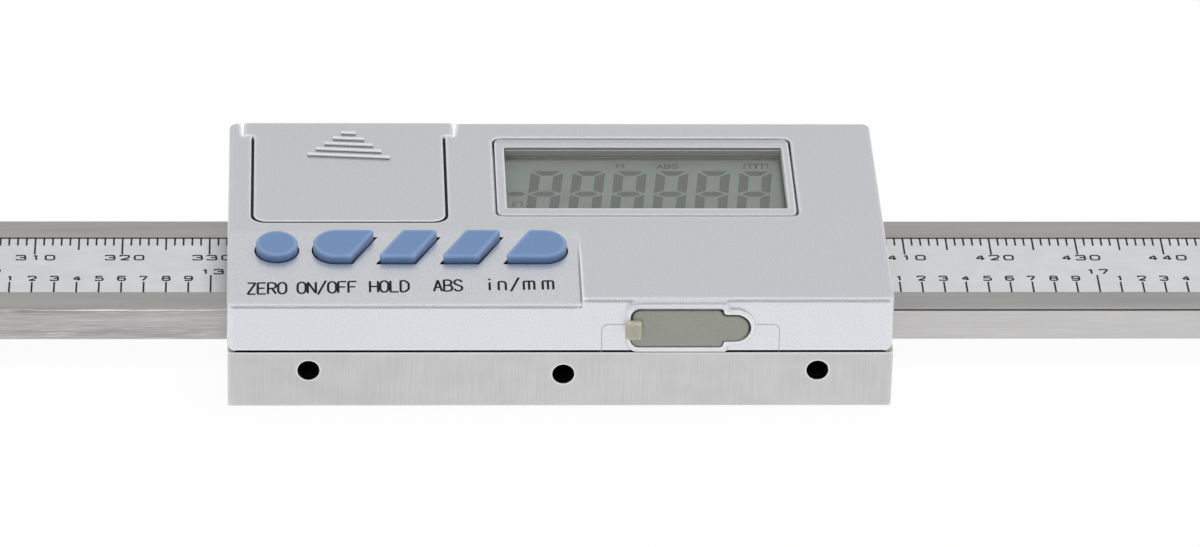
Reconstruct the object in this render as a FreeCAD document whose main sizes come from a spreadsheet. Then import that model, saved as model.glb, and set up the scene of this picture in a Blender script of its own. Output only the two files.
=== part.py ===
import FreeCAD, Part
import os
import re
import Sketcher

# Digital linear scale: a graduated steel beam with a sliding reading head, in millimetres.
# X runs along the beam, Y away from the reader and Z up. The origin is on the surface that the
# end brackets stand on, under the middle of the beam, with the head at the middle of its travel.

SIZES = {
    # beam, with a groove for the grating and its printed label
    "beam_length": 744.0,
    "beam_width": 20.0,
    "beam_thickness": 4.0,
    "beam_chamfer": 0.2,
    "groove_width": 12.3,
    "groove_depth": 0.75,
    "grating_thickness": 0.5,
    "label_thickness": 0.2,
    "strip_clearance": 0.12,
    # end brackets, with one screw each into the beam
    "bracket_length": 24.0,
    "bracket_floor": 3.0,
    "bracket_wall": 3.0,
    "bracket_ear": 8.0,
    "bracket_ear_height": 4.0,
    "bracket_clearance": 0.05,
    "bracket_edge": 0.6,
    "mounting_hole_radius": 2.25,
    "bracket_screw_radius": 1.5,
    "bracket_screw_head_radius": 2.75,
    "bracket_screw_head_height": 1.4,
    "bracket_screw_sink": 0.1,
    "bracket_screw_reach": 2.2,
    "screw_tip_gap": 0.2,
    "thread_clearance": 0.05,
    "drive_radius": 0.75,
    "drive_depth": 0.6,
    # carriage and the strip that takes up its play
    "carriage_length": 74.7,
    "carriage_side": 10.0,
    "carriage_floor": 2.62,
    "carriage_edge": 0.2,
    "slide_clearance": 0.05,
    "lip_overlap": 3.0,
    "lip_thickness": 0.4,
    "gib_thickness": 0.6,
    "gib_end_gap": 1.5,
    "gib_screw_radius": 1.0,
    "gib_screw_length": 5.0,
    "gib_screw_spacing": 22.0,
    "front_hole_radius": 1.25,
    "front_hole_depth": 6.0,
    "front_hole_spacing": 28.6,
    "front_hole_height": 4.77,
    "front_hole_offset": 0.3,
    "middle_hole_drop": 0.5,
    # housing
    "housing_inset": 0.1,
    "housing_overhang": 0.18,
    "housing_gap": 0.25,
    "housing_height": 6.7,
    "housing_wall": 1.3,
    "ceiling_thickness": 2.1,
    "housing_edge": 0.45,
    "housing_corner": 0.9,
    "housing_lower_edge": 0.8,
    "opening_edge": 0.15,
    "keypad_from_side": 39.68,
    "keypad_from_front": 15.0,
    "keypad_drop": 0.85,
    "post_size": 4.4,
    "post_height": 2.75,
    "post_inset": 3.0,
    "housing_screw_radius": 1.0,
    "housing_screw_head_radius": 1.9,
    "housing_screw_head_height": 1.3,
    "housing_screw_sink": 0.5,
    "housing_screw_reach": 2.2,
    # circuit board and what it carries
    "board_thickness": 1.0,
    "board_side_gap": 1.75,
    "board_post_gap": 1.6,
    "board_screw_radius": 0.8,
    "board_screw_head_radius": 1.5,
    "board_screw_head_height": 0.8,
    "board_screw_reach": 2.5,
    "board_screw_inset": 1.3,
    "board_screw_from_side": 4.4,
    "board_screw_pad": 2.3,
    "sensor_length": 48.0,
    "sensor_width": 11.0,
    "sensor_thickness": 0.3,
    "chip_size": 9.0,
    "chip_height": 1.4,
    "crystal_radius": 0.75,
    "crystal_length": 5.0,
    "crystal_gap": 1.6,
    "capacitor_length": 1.6,
    "capacitor_width": 0.8,
    "capacitor_pitch": 1.2,
    "capacitor_gap": 1.6,
    # display
    "display_from_side": 47.8,
    "display_from_rear": 12.53,
    "window_width": 32.26,
    "window_depth": 14.06,
    "window_thickness": 0.6,
    "window_seat": 0.8,
    "window_clearance": 0.05,
    "window_air_gap": 0.1,
    "bezel_side_band": 1.0,
    "bezel_end_band": 1.9,
    "bezel_corner": 0.9,
    "bezel_recess": 0.45,
    "bezel_gap": 0.2,
    "bezel_edge": 0.2,
    "flange_reach": 1.0,
    "flange_pocket": 0.8,
    "flange_thickness": 0.75,
    "lcd_thickness": 1.75,
    "reflector_thickness": 0.3,
    "zebra_width": 1.8,
    "zebra_inset": 0.4,
    "carrier_wall": 1.2,
    "carrier_gap": 0.3,
    # battery and its cover
    "battery_from_rear": 12.6,
    "battery_radius": 10.0,
    "battery_height": 3.2,
    "holder_clearance": 0.2,
    "holder_wall": 0.9,
    "holder_floor": 0.65,
    "holder_headroom": 0.1,
    "contact_thickness": 0.3,
    "contact_width": 4.0,
    "contact_clearance": 0.1,
    "contact_gap": 0.05,
    "negative_contact_length": 12.0,
    "cover_from_side": 1.71,
    "cover_width": 22.0,
    "cover_depth": 22.84,
    "cover_thickness": 0.65,
    "cover_corner": 1.6,
    "cover_gap": 0.15,
    "cover_play": 0.1,
    "cover_tongue": 0.7,
    "tongue_thickness": 0.55,
    "ear_reach": 1.12,
    "ear_length": 3.1,
    "ear_corner": 0.25,
    "ear_slit_front": 0.2,
    "ear_slit_rear": 0.45,
    "ear_slit_depth": 2.0,
    "cover_edge": 0.15,
    "rear_flange_thickness": 1.2,
    "rear_flange_height": 3.9,
    "ridge_from_rear": 8.1,
    "ridge_pitch": 1.33,
    "ridge_length": 9.5,
    "ridge_shortening": 1.95,
    "ridge_width": 0.5,
    "ridge_height": 0.28,
    "ridge_slope": 0.08,
    # keys
    "keys_from_side": 23.98,
    "keys_from_front": 11.02,
    "key_depth": 5.15,
    "key_width": 4.15,
    "key_spacing": 3.0,
    "key_lean": 2.9,
    "key_round_width": 5.65,
    "key_zero_radius": 2.35,
    "key_zero_gap": 1.75,
    "key_gap": 0.18,
    "key_proud": 1.1,
    "key_fall": 0.52,
    "key_corner": 0.4,
    "key_edge": 0.15,
    "key_travel": 0.8,
    "key_rest_gap": 0.05,
    "key_flange": 0.6,
    "key_flange_thickness": 0.8,
    "key_stem": 3.0,
    "pill_size": 2.2,
    "pill_height": 0.4,
    "mat_thickness": 0.7,
    "mat_border": 1.2,
    "mat_clearance": 0.3,
    # data port
    "port_from_side": 50.33,
    "port_height": 3.09,
    "plug_length": 10.23,
    "plug_height": 4.83,
    "plug_corner": 1.0,
    "plug_nose_length": 3.1,
    "plug_nose_height": 3.34,
    "plug_depth": 1.9,
    "plug_gap": 0.1,
    "plug_sunk": 0.1,
    "rim_width": 0.65,
    "rim_rise": 0.4,
    "rim_fall": 0.2,
    "rim_proud": 0.35,
    "rim_edge": 0.2,
    "tab_length": 1.8,
    "tab_overhang": 0.65,
    "tab_height": 2.25,
    "tab_drop": 0.07,
    "tab_thickness": 0.65,
    "tab_corner": 0.35,
    "tab_gap": 0.05,
    "socket_gap": 0.2,
    "socket_length": 10.6,
    "socket_depth": 8.3,
    "socket_height": 3.2,
    "socket_wall": 0.9,
    "socket_mouth_depth": 5.0,
    "pin_width": 0.5,
    "pin_length": 4.0,
    "pin_pitch": 1.6,
}

RIDGE_COUNT = 5
PIN_COUNT = 5
CAPACITOR_COUNT = 6
HEXAGON_SIDE_COUNT = 6
PICKING_TOLERANCE = 1e-4

doc = FreeCAD.newDocument("digital_linear_scale")
sizes = doc.addObject("Spreadsheet::Sheet", "sizes")
for row, (size_name, size) in enumerate(SIZES.items(), start=1):
    sizes.set(f"A{row}", size_name)
    sizes.set(f"B{row}", str(size))
    sizes.setAlias(f"B{row}", size_name)
doc.recompute()

# Levels and places that several pieces share, as formulas in the sheet's sizes
BEAM_TOP = "(bracket_floor + beam_thickness)"
BEAM_END = "(beam_length / 2)"
GROOVE_FLOOR = f"({BEAM_TOP} - groove_depth)"
CHANNEL_FLOOR = "(bracket_floor - slide_clearance)"
CHANNEL_TOP = f"({BEAM_TOP} + slide_clearance)"
CHANNEL_FRONT = "(0 - beam_width / 2 - slide_clearance)"
GIB_FRONT = "(beam_width / 2 + slide_clearance)"
GIB_REAR = f"({GIB_FRONT} + gib_thickness)"
CHANNEL_REAR = f"({GIB_REAR} + slide_clearance)"
GIB_SCREW_LEVEL = f"({CHANNEL_FLOOR} + beam_thickness / 2)"
CARRIAGE_BOTTOM = f"({CHANNEL_FLOOR} - carriage_floor)"
CARRIAGE_TOP = f"({CHANNEL_TOP} + lip_thickness)"
REAR = "(beam_width / 2 + carriage_side)"
FRONT = f"(0 - {REAR})"
RIGHT = "(carriage_length / 2 - housing_inset)"
LEFT = f"(0 - {RIGHT} - housing_overhang)"
HOUSING_BOTTOM = f"({CARRIAGE_TOP} + housing_gap)"
HOUSING_TOP = f"({HOUSING_BOTTOM} + housing_height)"
CEILING = f"({HOUSING_TOP} - ceiling_thickness)"
POST_X = f"({RIGHT} - post_inset)"
POST_Y = f"({REAR} - post_inset)"
BOARD_TOP = f"({CARRIAGE_TOP} + board_thickness)"
BOARD_X = f"({RIGHT} - housing_wall - board_side_gap)"
BOARD_Y = f"({POST_Y} - post_size / 2 - board_post_gap)"
DISPLAY_X = f"({LEFT} + display_from_side)"
DISPLAY_Y = f"({REAR} - display_from_rear)"
BEZEL_HALF_X = "(window_width / 2 + bezel_side_band)"
BEZEL_HALF_Y = "(window_depth / 2 + bezel_end_band)"
BEZEL_TOP = f"({HOUSING_TOP} - bezel_recess)"
FLANGE_TOP = f"({CEILING} + flange_pocket)"
FLANGE_BOTTOM = f"({FLANGE_TOP} - flange_thickness)"
LCD_BOTTOM = f"({FLANGE_BOTTOM} - lcd_thickness)"
CARRIER_TOP = f"({LCD_BOTTOM} - reflector_thickness)"
ZEBRA_FRONT = f"({DISPLAY_Y} - {BEZEL_HALF_Y} + zebra_inset)"
ZEBRA_REAR = f"({ZEBRA_FRONT} + zebra_width)"
BATTERY_X = f"({LEFT} + cover_from_side + ear_reach + cover_width / 2)"
BATTERY_Y = f"({REAR} - battery_from_rear)"
HOLDER_FLOOR = f"({BOARD_TOP} + holder_floor)"
BATTERY_BOTTOM = f"({HOLDER_FLOOR} + contact_thickness)"
HOLDER_HALF = "(battery_radius + holder_clearance + holder_wall)"
PLATE_BOTTOM = f"({HOUSING_TOP} - cover_thickness)"
TONGUE_TOP = f"({PLATE_BOTTOM} - cover_play / 2)"
GROOVE_BOTTOM = f"({TONGUE_TOP} - tongue_thickness - cover_play / 2)"
COVER_FRONT = f"({REAR} - cover_depth)"
EAR_FRONT = f"({REAR} - ear_length)"
KEYPAD_EDGE = f"({LEFT} + keypad_from_side)"
KEYPAD_START = f"({FRONT} + keypad_from_front)"
KEYS_X = f"({LEFT} + keys_from_side)"
KEYS_Y = f"({FRONT} + keys_from_front)"
KEY_FRONT = f"({KEYS_Y} - key_depth / 2)"
KEY_REAR = f"({KEYS_Y} + key_depth / 2)"
KEY_STEP = "((key_width + key_spacing) / 2)"
ROUND_SIDE = f"({KEY_STEP} + key_width / 2 + key_spacing)"
POWER_X = f"({KEYS_X} - {ROUND_SIDE})"
UNIT_X = f"({KEYS_X} + {ROUND_SIDE})"
ROUND_CENTRE = "(key_round_width - key_depth / 2)"
ZERO_X = f"({POWER_X} - key_round_width - key_zero_gap - key_zero_radius)"
KEY_TOP = f"({HOUSING_TOP} + key_proud)"
KEY_FLANGE_TOP = f"({CEILING} - key_rest_gap)"
KEY_FLANGE_BOTTOM = f"({KEY_FLANGE_TOP} - key_flange_thickness)"
PILL_BOTTOM = f"({BOARD_TOP} + key_travel + key_rest_gap)"
PILL_TOP = f"({PILL_BOTTOM} + pill_height)"
PORT_X = f"({LEFT} + port_from_side)"
PORT_Z = f"({HOUSING_BOTTOM} + port_height)"
RIM_FACE = f"({REAR} + rim_proud)"
PLUG_FACE = f"({RIM_FACE} - plug_sunk)"
SOCKET_FRONT = f"({FRONT} + plug_depth + socket_gap)"
PIN_LEVEL = f"({BOARD_TOP} + socket_height / 2)"

parts = {}


def sheet_formula(formula):
    """The formula with each size name pointed at the sheet."""
    return re.sub(r"[a-z_]+", lambda word: "sizes." + word.group(), formula)


def number(formula):
    """What a formula comes to with the sheet as it stands."""
    return float(sizes.evalExpression(sheet_formula(formula)))


def near(first, second):
    """Whether two lengths are the same for picking edges."""
    return abs(first - second) < PICKING_TOLERANCE


def upright(box):
    """Whether an edge's box stands straight up."""
    return near(box.XLength, 0) and near(box.YLength, 0)


def level_at(box, height):
    """Whether an edge's box lies flat at a height."""
    return near(box.ZMin, height) and near(box.ZMax, height)


def keep(item, name):
    """Name a finished sub-part, which also names its file."""
    item.Label = name
    parts[name] = item
    return item


def block(name, x, y, z):
    """A box between a low and a high formula on each axis."""
    box = doc.addObject("Part::Box", name)
    for side, axis, (low, high) in (("Length", "x", x), ("Width", "y", y), ("Height", "z", z)):
        box.setExpression(side, sheet_formula(f"({high}) - ({low})"))
        box.setExpression("Placement.Base." + axis, sheet_formula(low))
    return box


def place(item, start, axis):
    """Stand a turned piece at the start formulas, along an axis."""
    turns = {"X": FreeCAD.Rotation(FreeCAD.Vector(0, 1, 0), 90),
             "Y": FreeCAD.Rotation(FreeCAD.Vector(1, 0, 0), -90),
             "Z": FreeCAD.Rotation()}
    item.Placement = FreeCAD.Placement(FreeCAD.Vector(), turns[axis])
    for letter, formula in zip("xyz", start):
        item.setExpression("Placement.Base." + letter, sheet_formula(formula))
    return item


def rod(name, radius, length, start, axis="Z"):
    """A cylinder from start along an axis."""
    item = doc.addObject("Part::Cylinder", name)
    item.setExpression("Radius", sheet_formula(radius))
    item.setExpression("Height", sheet_formula(length))
    return place(item, start, axis)


def hexagon(name, radius, length, start, axis="Z"):
    """The hexagon socket of a screw."""
    item = doc.addObject("Part::Prism", name)
    item.Polygon = HEXAGON_SIDE_COUNT
    item.setExpression("Circumradius", sheet_formula(radius))
    item.setExpression("Height", sheet_formula(length))
    return place(item, start, axis)


def group(name, pieces):
    """Separate solids kept in one object."""
    item = doc.addObject("Part::Compound", name)
    item.Links = pieces
    return item


def fuse(name, pieces):
    """One solid from several."""
    item = doc.addObject("Part::MultiFuse", name)
    item.Shapes = pieces
    return item


def cut(name, base, cutters):
    """A solid less its cutters, which stay clear of each other."""
    item = doc.addObject("Part::Cut", name)
    item.Base = base
    item.Tool = group(name + "_cutters", cutters)
    return item


def sketch_on(body, plane, offset="0"):
    """A sketch on one of the body's own planes, moved along its normal."""
    sketch = body.newObject("Sketcher::SketchObject", body.Name + "_sketch")
    support = next(item for item in body.Origin.OriginFeatures if item.Role == plane)
    sketch.AttachmentSupport = [(support, "")]
    sketch.MapMode = "FlatFace"
    sketch.setExpression("AttachmentOffset.Base.z", sheet_formula(offset))
    return sketch


def tie(sketch, edge, point, formulas, axes="XY"):
    """Hold a point of the sketch at two formulas, measured from the origin."""
    for axis, formula in zip("XY", formulas):
        if axis in axes:
            distance = Sketcher.Constraint("Distance" + axis, -1, 1, edge, point, number(formula))
            index = sketch.addConstraint(distance)
            sketch.setExpression(f"Constraints[{index}]", sheet_formula(formula))


def outline(sketch, corners, arcs=None):
    """A closed line through corners, counter-clockwise; arcs gives the centre of each round edge."""
    arcs = arcs or {}
    points = [FreeCAD.Vector(number(x), number(y), 0) for x, y in corners]
    first = sketch.GeometryCount
    count = len(corners)
    ends = []
    for index, start in enumerate(points):
        end = points[(index + 1) % count]
        edge = Part.LineSegment(start, end)
        hollow = False
        if index in arcs:
            centre = FreeCAD.Vector(number(arcs[index][0]), number(arcs[index][1]), 0)
            hollow = (end - start).cross(centre - start).z < -1e-6
            round_line = Part.Circle(centre, FreeCAD.Vector(0, 0, 1), (start - centre).Length)
            sweep = [round_line.parameter(point) for point in (start, end)]
            edge = Part.ArcOfCircle(round_line, *(reversed(sweep) if hollow else sweep))
        ends.append((2, 1) if hollow else (1, 2))
        sketch.addGeometry(edge)
    for index, corner in enumerate(corners):
        following = (index + 1) % count
        sketch.addConstraint(Sketcher.Constraint("Coincident", first + index, ends[index][1],
                                                 first + following, ends[following][0]))
        tie(sketch, first + index, ends[index][0], corner)
    for index, centre in arcs.items():
        chord = points[(index + 1) % count] - points[index]
        tie(sketch, first + index, 3, centre, "Y" if abs(chord.x) > abs(chord.y) else "X")


def mirrored(corners):
    """The other half of a symmetric outline, in running order."""
    return [(f"0 - ({x})", y) for x, y in reversed(corners)]


def rectangle(sketch, x, y):
    """A rectangle between a low and a high formula on each axis."""
    outline(sketch, [(x[0], y[0]), (x[1], y[0]), (x[1], y[1]), (x[0], y[1])])


def rounded_rectangle(sketch, x, y, radius):
    """A rectangle with four round corners."""
    left, right = f"{x[0]} + {radius}", f"{x[1]} - {radius}"
    front, rear = f"{y[0]} + {radius}", f"{y[1]} - {radius}"
    corners = [(left, y[0]), (right, y[0]), (x[1], front), (x[1], rear),
               (right, y[1]), (left, y[1]), (x[0], rear), (x[0], front)]
    outline(sketch, corners, {1: (right, front), 3: (right, rear), 5: (left, rear), 7: (left, front)})


def circle(sketch, x, y, radius):
    """A full circle."""
    centre = FreeCAD.Vector(number(x), number(y), 0)
    edge = sketch.addGeometry(Part.Circle(centre, FreeCAD.Vector(0, 0, 1), number(radius)))
    tie(sketch, edge, 3, (x, y))
    index = sketch.addConstraint(Sketcher.Constraint("Radius", edge, number(radius)))
    sketch.setExpression(f"Constraints[{index}]", sheet_formula(radius))


def extrude(body, kind, sketch, length, backwards=False, middle=False):
    """Pad or pocket a sketch of the body."""
    feature = body.newObject("PartDesign::" + kind, body.Name + "_" + kind.lower())
    feature.Profile = sketch
    feature.Reversed = backwards
    feature.Midplane = middle
    feature.setExpression("Length", sheet_formula(length))
    return feature


def pad(body, sketch, length, backwards=False, middle=False):
    return extrude(body, "Pad", sketch, length, backwards, middle)


def pocket(body, sketch, length, backwards=False):
    return extrude(body, "Pocket", sketch, length, backwards)


def dress(body, kind, size_name, chosen):
    """Round or bevel the edges that the test picks on the body as it stands."""
    doc.recompute()
    base = body.Tip
    edges = enumerate(base.Shape.Edges, start=1)
    names = [f"Edge{index}" for index, edge in edges if chosen(edge.BoundBox)]
    feature = body.newObject("PartDesign::" + kind, body.Name + "_" + kind.lower())
    feature.Base = (base, names)
    feature.setExpression("Radius" if kind == "Fillet" else "Size", sheet_formula(size_name))
    doc.recompute()
    return feature


def make_beam():
    """Flat bar with a groove along its top, bevelled edges and blind screw holes at its ends."""
    body = doc.addObject("PartDesign::Body", "beam_bar")
    half = "beam_width / 2"
    side = "groove_width / 2"
    low = "bracket_floor + beam_chamfer"
    high = f"{BEAM_TOP} - beam_chamfer"
    section = sketch_on(body, "YZ_Plane")
    right = [(f"{half} - beam_chamfer", "bracket_floor"), (half, low), (half, high),
             (f"{half} - beam_chamfer", BEAM_TOP), (side, BEAM_TOP), (side, GROOVE_FLOOR)]
    outline(section, right + mirrored(right))
    pad(body, section, "beam_length", middle=True)
    radius = "bracket_screw_radius + thread_clearance"
    depth = "bracket_screw_reach + screw_tip_gap"
    holes = [rod("beam_hole", radius, depth, (x, "0", "bracket_floor")) for x in bracket_screw_places()]
    keep(cut("beam", body, holes), "beam")


def make_strips():
    """Electrode grating in the groove, with the printed label on it."""
    half = "groove_width / 2 - strip_clearance"
    middle = f"{GROOVE_FLOOR} + grating_thickness"
    x = (f"0 - {BEAM_END}", BEAM_END)
    y = (f"0 - ({half})", half)
    keep(block("scale_grating", x, y, (GROOVE_FLOOR, middle)), "scale_grating")
    keep(block("scale_label", x, y, (middle, f"{middle} + label_thickness")), "scale_label")


def bracket_screw_places():
    """X of the two screws, one in each bracket."""
    return [f"{side} * ({BEAM_END} - bracket_length / 2)" for side in ("-1", "1")]


def make_bracket(name, start):
    """Foot that holds one end of the beam in a channel, with two ears for mounting screws."""
    body = doc.addObject("PartDesign::Body", name + "_block")
    channel = "(beam_width / 2 + bracket_clearance)"
    wall = f"({channel} + bracket_wall)"
    ear = f"({wall} + bracket_ear)"
    section = sketch_on(body, "YZ_Plane", start)
    right = [(ear, "0"), (ear, "bracket_ear_height"), (wall, "bracket_ear_height"), (wall, BEAM_TOP),
             (channel, BEAM_TOP), (channel, "bracket_floor")]
    outline(section, right + mirrored(right))
    pad(body, section, "bracket_length")
    ear_end = number(ear)
    ear_top = number("bracket_ear_height")
    dress(body, "Chamfer", "bracket_edge",
          lambda box: near(abs(box.Center.y), ear_end) and (level_at(box, ear_top) or upright(box)))
    holes = []
    middle = f"{start} + bracket_length / 2"
    for side in ("-1", "1"):
        y = f"{side} * ({wall} + bracket_ear / 2)"
        holes.append(rod(name + "_hole", "mounting_hole_radius", "bracket_ear_height", (middle, y, "0")))
    head = "bracket_screw_head_radius + thread_clearance"
    head_depth = "bracket_screw_sink + bracket_screw_head_height"
    sink = rod(name + "_sink", head, head_depth, (middle, "0", "0"))
    shank = "bracket_screw_radius + thread_clearance"
    hole = rod(name + "_shank", shank, "bracket_floor", (middle, "0", "0"))
    holes.append(fuse(name + "_sinks", [sink, hole]))
    keep(cut(name, body, holes), name)


def make_bracket_screws():
    """Cap screws from below, through the brackets into the beam."""
    screws = []
    length = "bracket_floor + bracket_screw_reach - bracket_screw_sink"
    for x in bracket_screw_places():
        start = (x, "0", "bracket_screw_sink")
        head = rod("bracket_screw_head", "bracket_screw_head_radius", "bracket_screw_head_height", start)
        shank = rod("bracket_screw_shank", "bracket_screw_radius", length, start)
        drive = hexagon("bracket_screw_drive", "drive_radius", "drive_depth", start)
        screws.append(cut("bracket_screw", fuse("bracket_screw_blank", [head, shank]), [drive]))
    keep(group("bracket_screws", screws), "bracket_screws")


def make_carriage():
    """Steel block with a lipped channel for the beam, tapped holes in front and screw holes below."""
    body = doc.addObject("PartDesign::Body", "carriage_base")
    lip = "(beam_width / 2 - lip_overlap)"
    section = sketch_on(body, "YZ_Plane")
    outline(section, [(FRONT, CARRIAGE_BOTTOM), (REAR, CARRIAGE_BOTTOM), (REAR, CARRIAGE_TOP),
                      (lip, CARRIAGE_TOP), (lip, CHANNEL_TOP), (CHANNEL_REAR, CHANNEL_TOP),
                      (CHANNEL_REAR, CHANNEL_FLOOR), (CHANNEL_FRONT, CHANNEL_FLOOR),
                      (CHANNEL_FRONT, CHANNEL_TOP), (f"0 - {lip}", CHANNEL_TOP),
                      (f"0 - {lip}", CARRIAGE_TOP), (FRONT, CARRIAGE_TOP)])
    pad(body, section, "carriage_length", middle=True)
    depth = number(REAR)
    bottom = number(CARRIAGE_BOTTOM)
    dress(body, "Chamfer", "carriage_edge",
          lambda box: near(abs(box.Center.y), depth) and (upright(box) or level_at(box, bottom)))
    front = sketch_on(body, "XZ_Plane", REAR)
    level = f"{CARRIAGE_BOTTOM} + front_hole_height"
    circle(front, "front_hole_offset - front_hole_spacing", level, "front_hole_radius")
    circle(front, "front_hole_offset", f"{level} - middle_hole_drop", "front_hole_radius")
    circle(front, "front_hole_offset + front_hole_spacing", level, "front_hole_radius")
    pocket(body, front, "front_hole_depth")
    rear = sketch_on(body, "XZ_Plane", FRONT)
    for x in gib_screw_places():
        circle(rear, x, GIB_SCREW_LEVEL, "gib_screw_radius + thread_clearance")
    pocket(body, rear, f"{REAR} - {CHANNEL_REAR}", backwards=True)
    shanks = sketch_on(body, "XY_Plane", CARRIAGE_BOTTOM)
    heads = sketch_on(body, "XY_Plane", CARRIAGE_BOTTOM)
    for x, y in housing_screw_places():
        circle(shanks, x, y, "housing_screw_radius + thread_clearance")
        circle(heads, x, y, "housing_screw_head_radius + thread_clearance")
    pocket(body, shanks, f"{CARRIAGE_TOP} - {CARRIAGE_BOTTOM}", backwards=True)
    pocket(body, heads, "housing_screw_sink + housing_screw_head_height", backwards=True)
    board_holes = sketch_on(body, "XY_Plane", CARRIAGE_TOP)
    for x, y in board_screw_places():
        circle(board_holes, x, y, "board_screw_radius + thread_clearance")
    pocket(body, board_holes, "board_screw_reach + screw_tip_gap")
    keep(body, "carriage_base")


def gib_screw_places():
    """X of the two screws that press the gib."""
    return [f"{side} * gib_screw_spacing" for side in ("-1", "1")]


def make_gib():
    """Bronze strip between the beam's rear edge and the channel, with its set screws."""
    end = "(carriage_length / 2 - gib_end_gap)"
    keep(block("gib_strip", (f"0 - {end}", end), (GIB_FRONT, GIB_REAR),
               ("bracket_floor", f"{BEAM_TOP} - slide_clearance")), "gib_strip")
    screws = []
    for x in gib_screw_places():
        start = (x, GIB_REAR, GIB_SCREW_LEVEL)
        screw = rod("gib_screw_blank", "gib_screw_radius", "gib_screw_length", start, "Y")
        mouth = (x, f"{GIB_REAR} + gib_screw_length - drive_depth", GIB_SCREW_LEVEL)
        drive = hexagon("gib_screw_drive", "gib_screw_radius / 2", "drive_depth", mouth, "Y")
        screws.append(cut("gib_screw", screw, [drive]))
    keep(group("gib_set_screws", screws), "gib_set_screws")


def housing_screw_places():
    """The housing's two corner posts, across from each other."""
    return [(f"{side} * {POST_X}", f"{side} * {POST_Y}") for side in ("-1", "1")]


def make_housing_screws():
    """Cap screws from below, through the carriage into the housing's posts."""
    screws = []
    low = f"({CARRIAGE_BOTTOM} + housing_screw_sink)"
    length = f"{CARRIAGE_TOP} + housing_screw_reach - {low}"
    for x, y in housing_screw_places():
        start = (x, y, low)
        head = rod("housing_screw_head", "housing_screw_head_radius", "housing_screw_head_height", start)
        shank = rod("housing_screw_shank", "housing_screw_radius", length, start)
        drive = hexagon("housing_screw_drive", "drive_radius", "drive_depth", start)
        screws.append(cut("housing_screw", fuse("housing_screw_blank", [head, shank]), [drive]))
    keep(group("housing_screws", screws), "housing_screws")


def make_housing():
    """Moulded cover with a sloped keypad field, rounded edges and all its openings."""
    body = doc.addObject("PartDesign::Body", "housing")
    plan = sketch_on(body, "XY_Plane", HOUSING_BOTTOM)
    rounded_rectangle(plan, (LEFT, RIGHT), (FRONT, REAR), "housing_corner")
    pad(body, plan, "housing_height")
    slope = sketch_on(body, "YZ_Plane", KEYPAD_EDGE)
    over = f"{HOUSING_TOP} + keypad_drop"
    outline(slope, [(FRONT, f"{HOUSING_TOP} - keypad_drop"), (KEYPAD_START, HOUSING_TOP),
                    (KEYPAD_START, over), (FRONT, over)])
    pocket(body, slope, "keypad_from_side")
    round_top(body)
    ends = sketch_on(body, "XZ_Plane", REAR)
    low = f"{HOUSING_BOTTOM} + housing_lower_edge"
    for side, inward in ((LEFT, "1"), (RIGHT, "-1")):
        inner = f"{side} + {inward} * housing_lower_edge"
        corners = [(side, HOUSING_BOTTOM), (inner, HOUSING_BOTTOM), (side, low)]
        outline(ends, corners, {1: (inner, low)})
    pocket(body, ends, f"2 * {REAR}")
    cavity = sketch_on(body, "XY_Plane", HOUSING_BOTTOM)
    rectangle(cavity, (f"{LEFT} + housing_wall", f"{RIGHT} - housing_wall"),
              (f"{FRONT} + housing_wall", f"{REAR} - housing_wall"))
    pocket(body, cavity, f"{CEILING} - {HOUSING_BOTTOM}", backwards=True)
    posts = sketch_on(body, "XY_Plane", CARRIAGE_TOP)
    threads = sketch_on(body, "XY_Plane", CARRIAGE_TOP)
    for x, y in housing_screw_places():
        rectangle(posts, (f"{x} - post_size / 2", f"{x} + post_size / 2"),
                  (f"{y} - post_size / 2", f"{y} + post_size / 2"))
        circle(threads, x, y, "housing_screw_radius + thread_clearance")
    pad(body, posts, "post_height")
    pocket(body, threads, "housing_screw_reach + screw_tip_gap", backwards=True)
    open_battery_bay(body)
    open_display(body)
    keys = sketch_on(body, "XY_Plane", HOUSING_TOP)
    for draw_key in KEYS.values():
        draw_key(keys, "key_gap")
    pocket(body, keys, "ceiling_thickness")
    open_port(body)
    keep(body, "housing")


def round_top(body):
    """Round the edge all round the top, on both levels of the keypad step."""
    right, rear, corner = number(RIGHT), number(REAR), number("housing_corner")
    low = number(f"{HOUSING_TOP} - keypad_drop")

    def all_round(box):
        x, y = abs(box.Center.x), abs(box.Center.y)
        outside = near(x, right) or near(y, rear) or x > right - corner and y > rear - corner
        return outside and not upright(box) and box.ZMin > low - PICKING_TOLERANCE

    dress(body, "Fillet", "housing_edge", all_round)


def cover_outline(sketch, grow):
    """The cover's plan: rounded in front, with two ears at the rear."""
    half = f"(cover_width / 2 + {grow})"
    ear = f"(cover_width / 2 + ear_reach + {grow})"
    left, right = f"{BATTERY_X} - {half}", f"{BATTERY_X} + {half}"
    front = f"{COVER_FRONT} - {grow}"
    ear_front = f"{EAR_FRONT} - {grow}"
    centre = f"{front} + cover_corner"
    corner_left, corner_right = f"{left} + cover_corner", f"{right} - cover_corner"
    ear_left, ear_right = f"{BATTERY_X} - {ear}", f"{BATTERY_X} + {ear}"
    outline(sketch, [(corner_left, front), (corner_right, front), (right, centre), (right, ear_front),
                     (ear_right, ear_front), (ear_right, REAR), (ear_left, REAR), (ear_left, ear_front),
                     (left, ear_front), (left, centre)],
            {1: (corner_right, centre), 9: (corner_left, centre)})


def break_opening(body, spans):
    """Break the top edges of an opening that lie in the given spans of X and Y."""
    top = number(HOUSING_TOP)
    (left, right), (front, rear) = [[number(end) for end in span] for span in spans]

    def at_opening(box):
        across = left - PICKING_TOLERANCE < box.XMin and box.XMax < right + PICKING_TOLERANCE
        along = front - PICKING_TOLERANCE < box.YMin and box.YMax < rear + PICKING_TOLERANCE
        return across and along and level_at(box, top)

    dress(body, "Chamfer", "opening_edge", at_opening)


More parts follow.
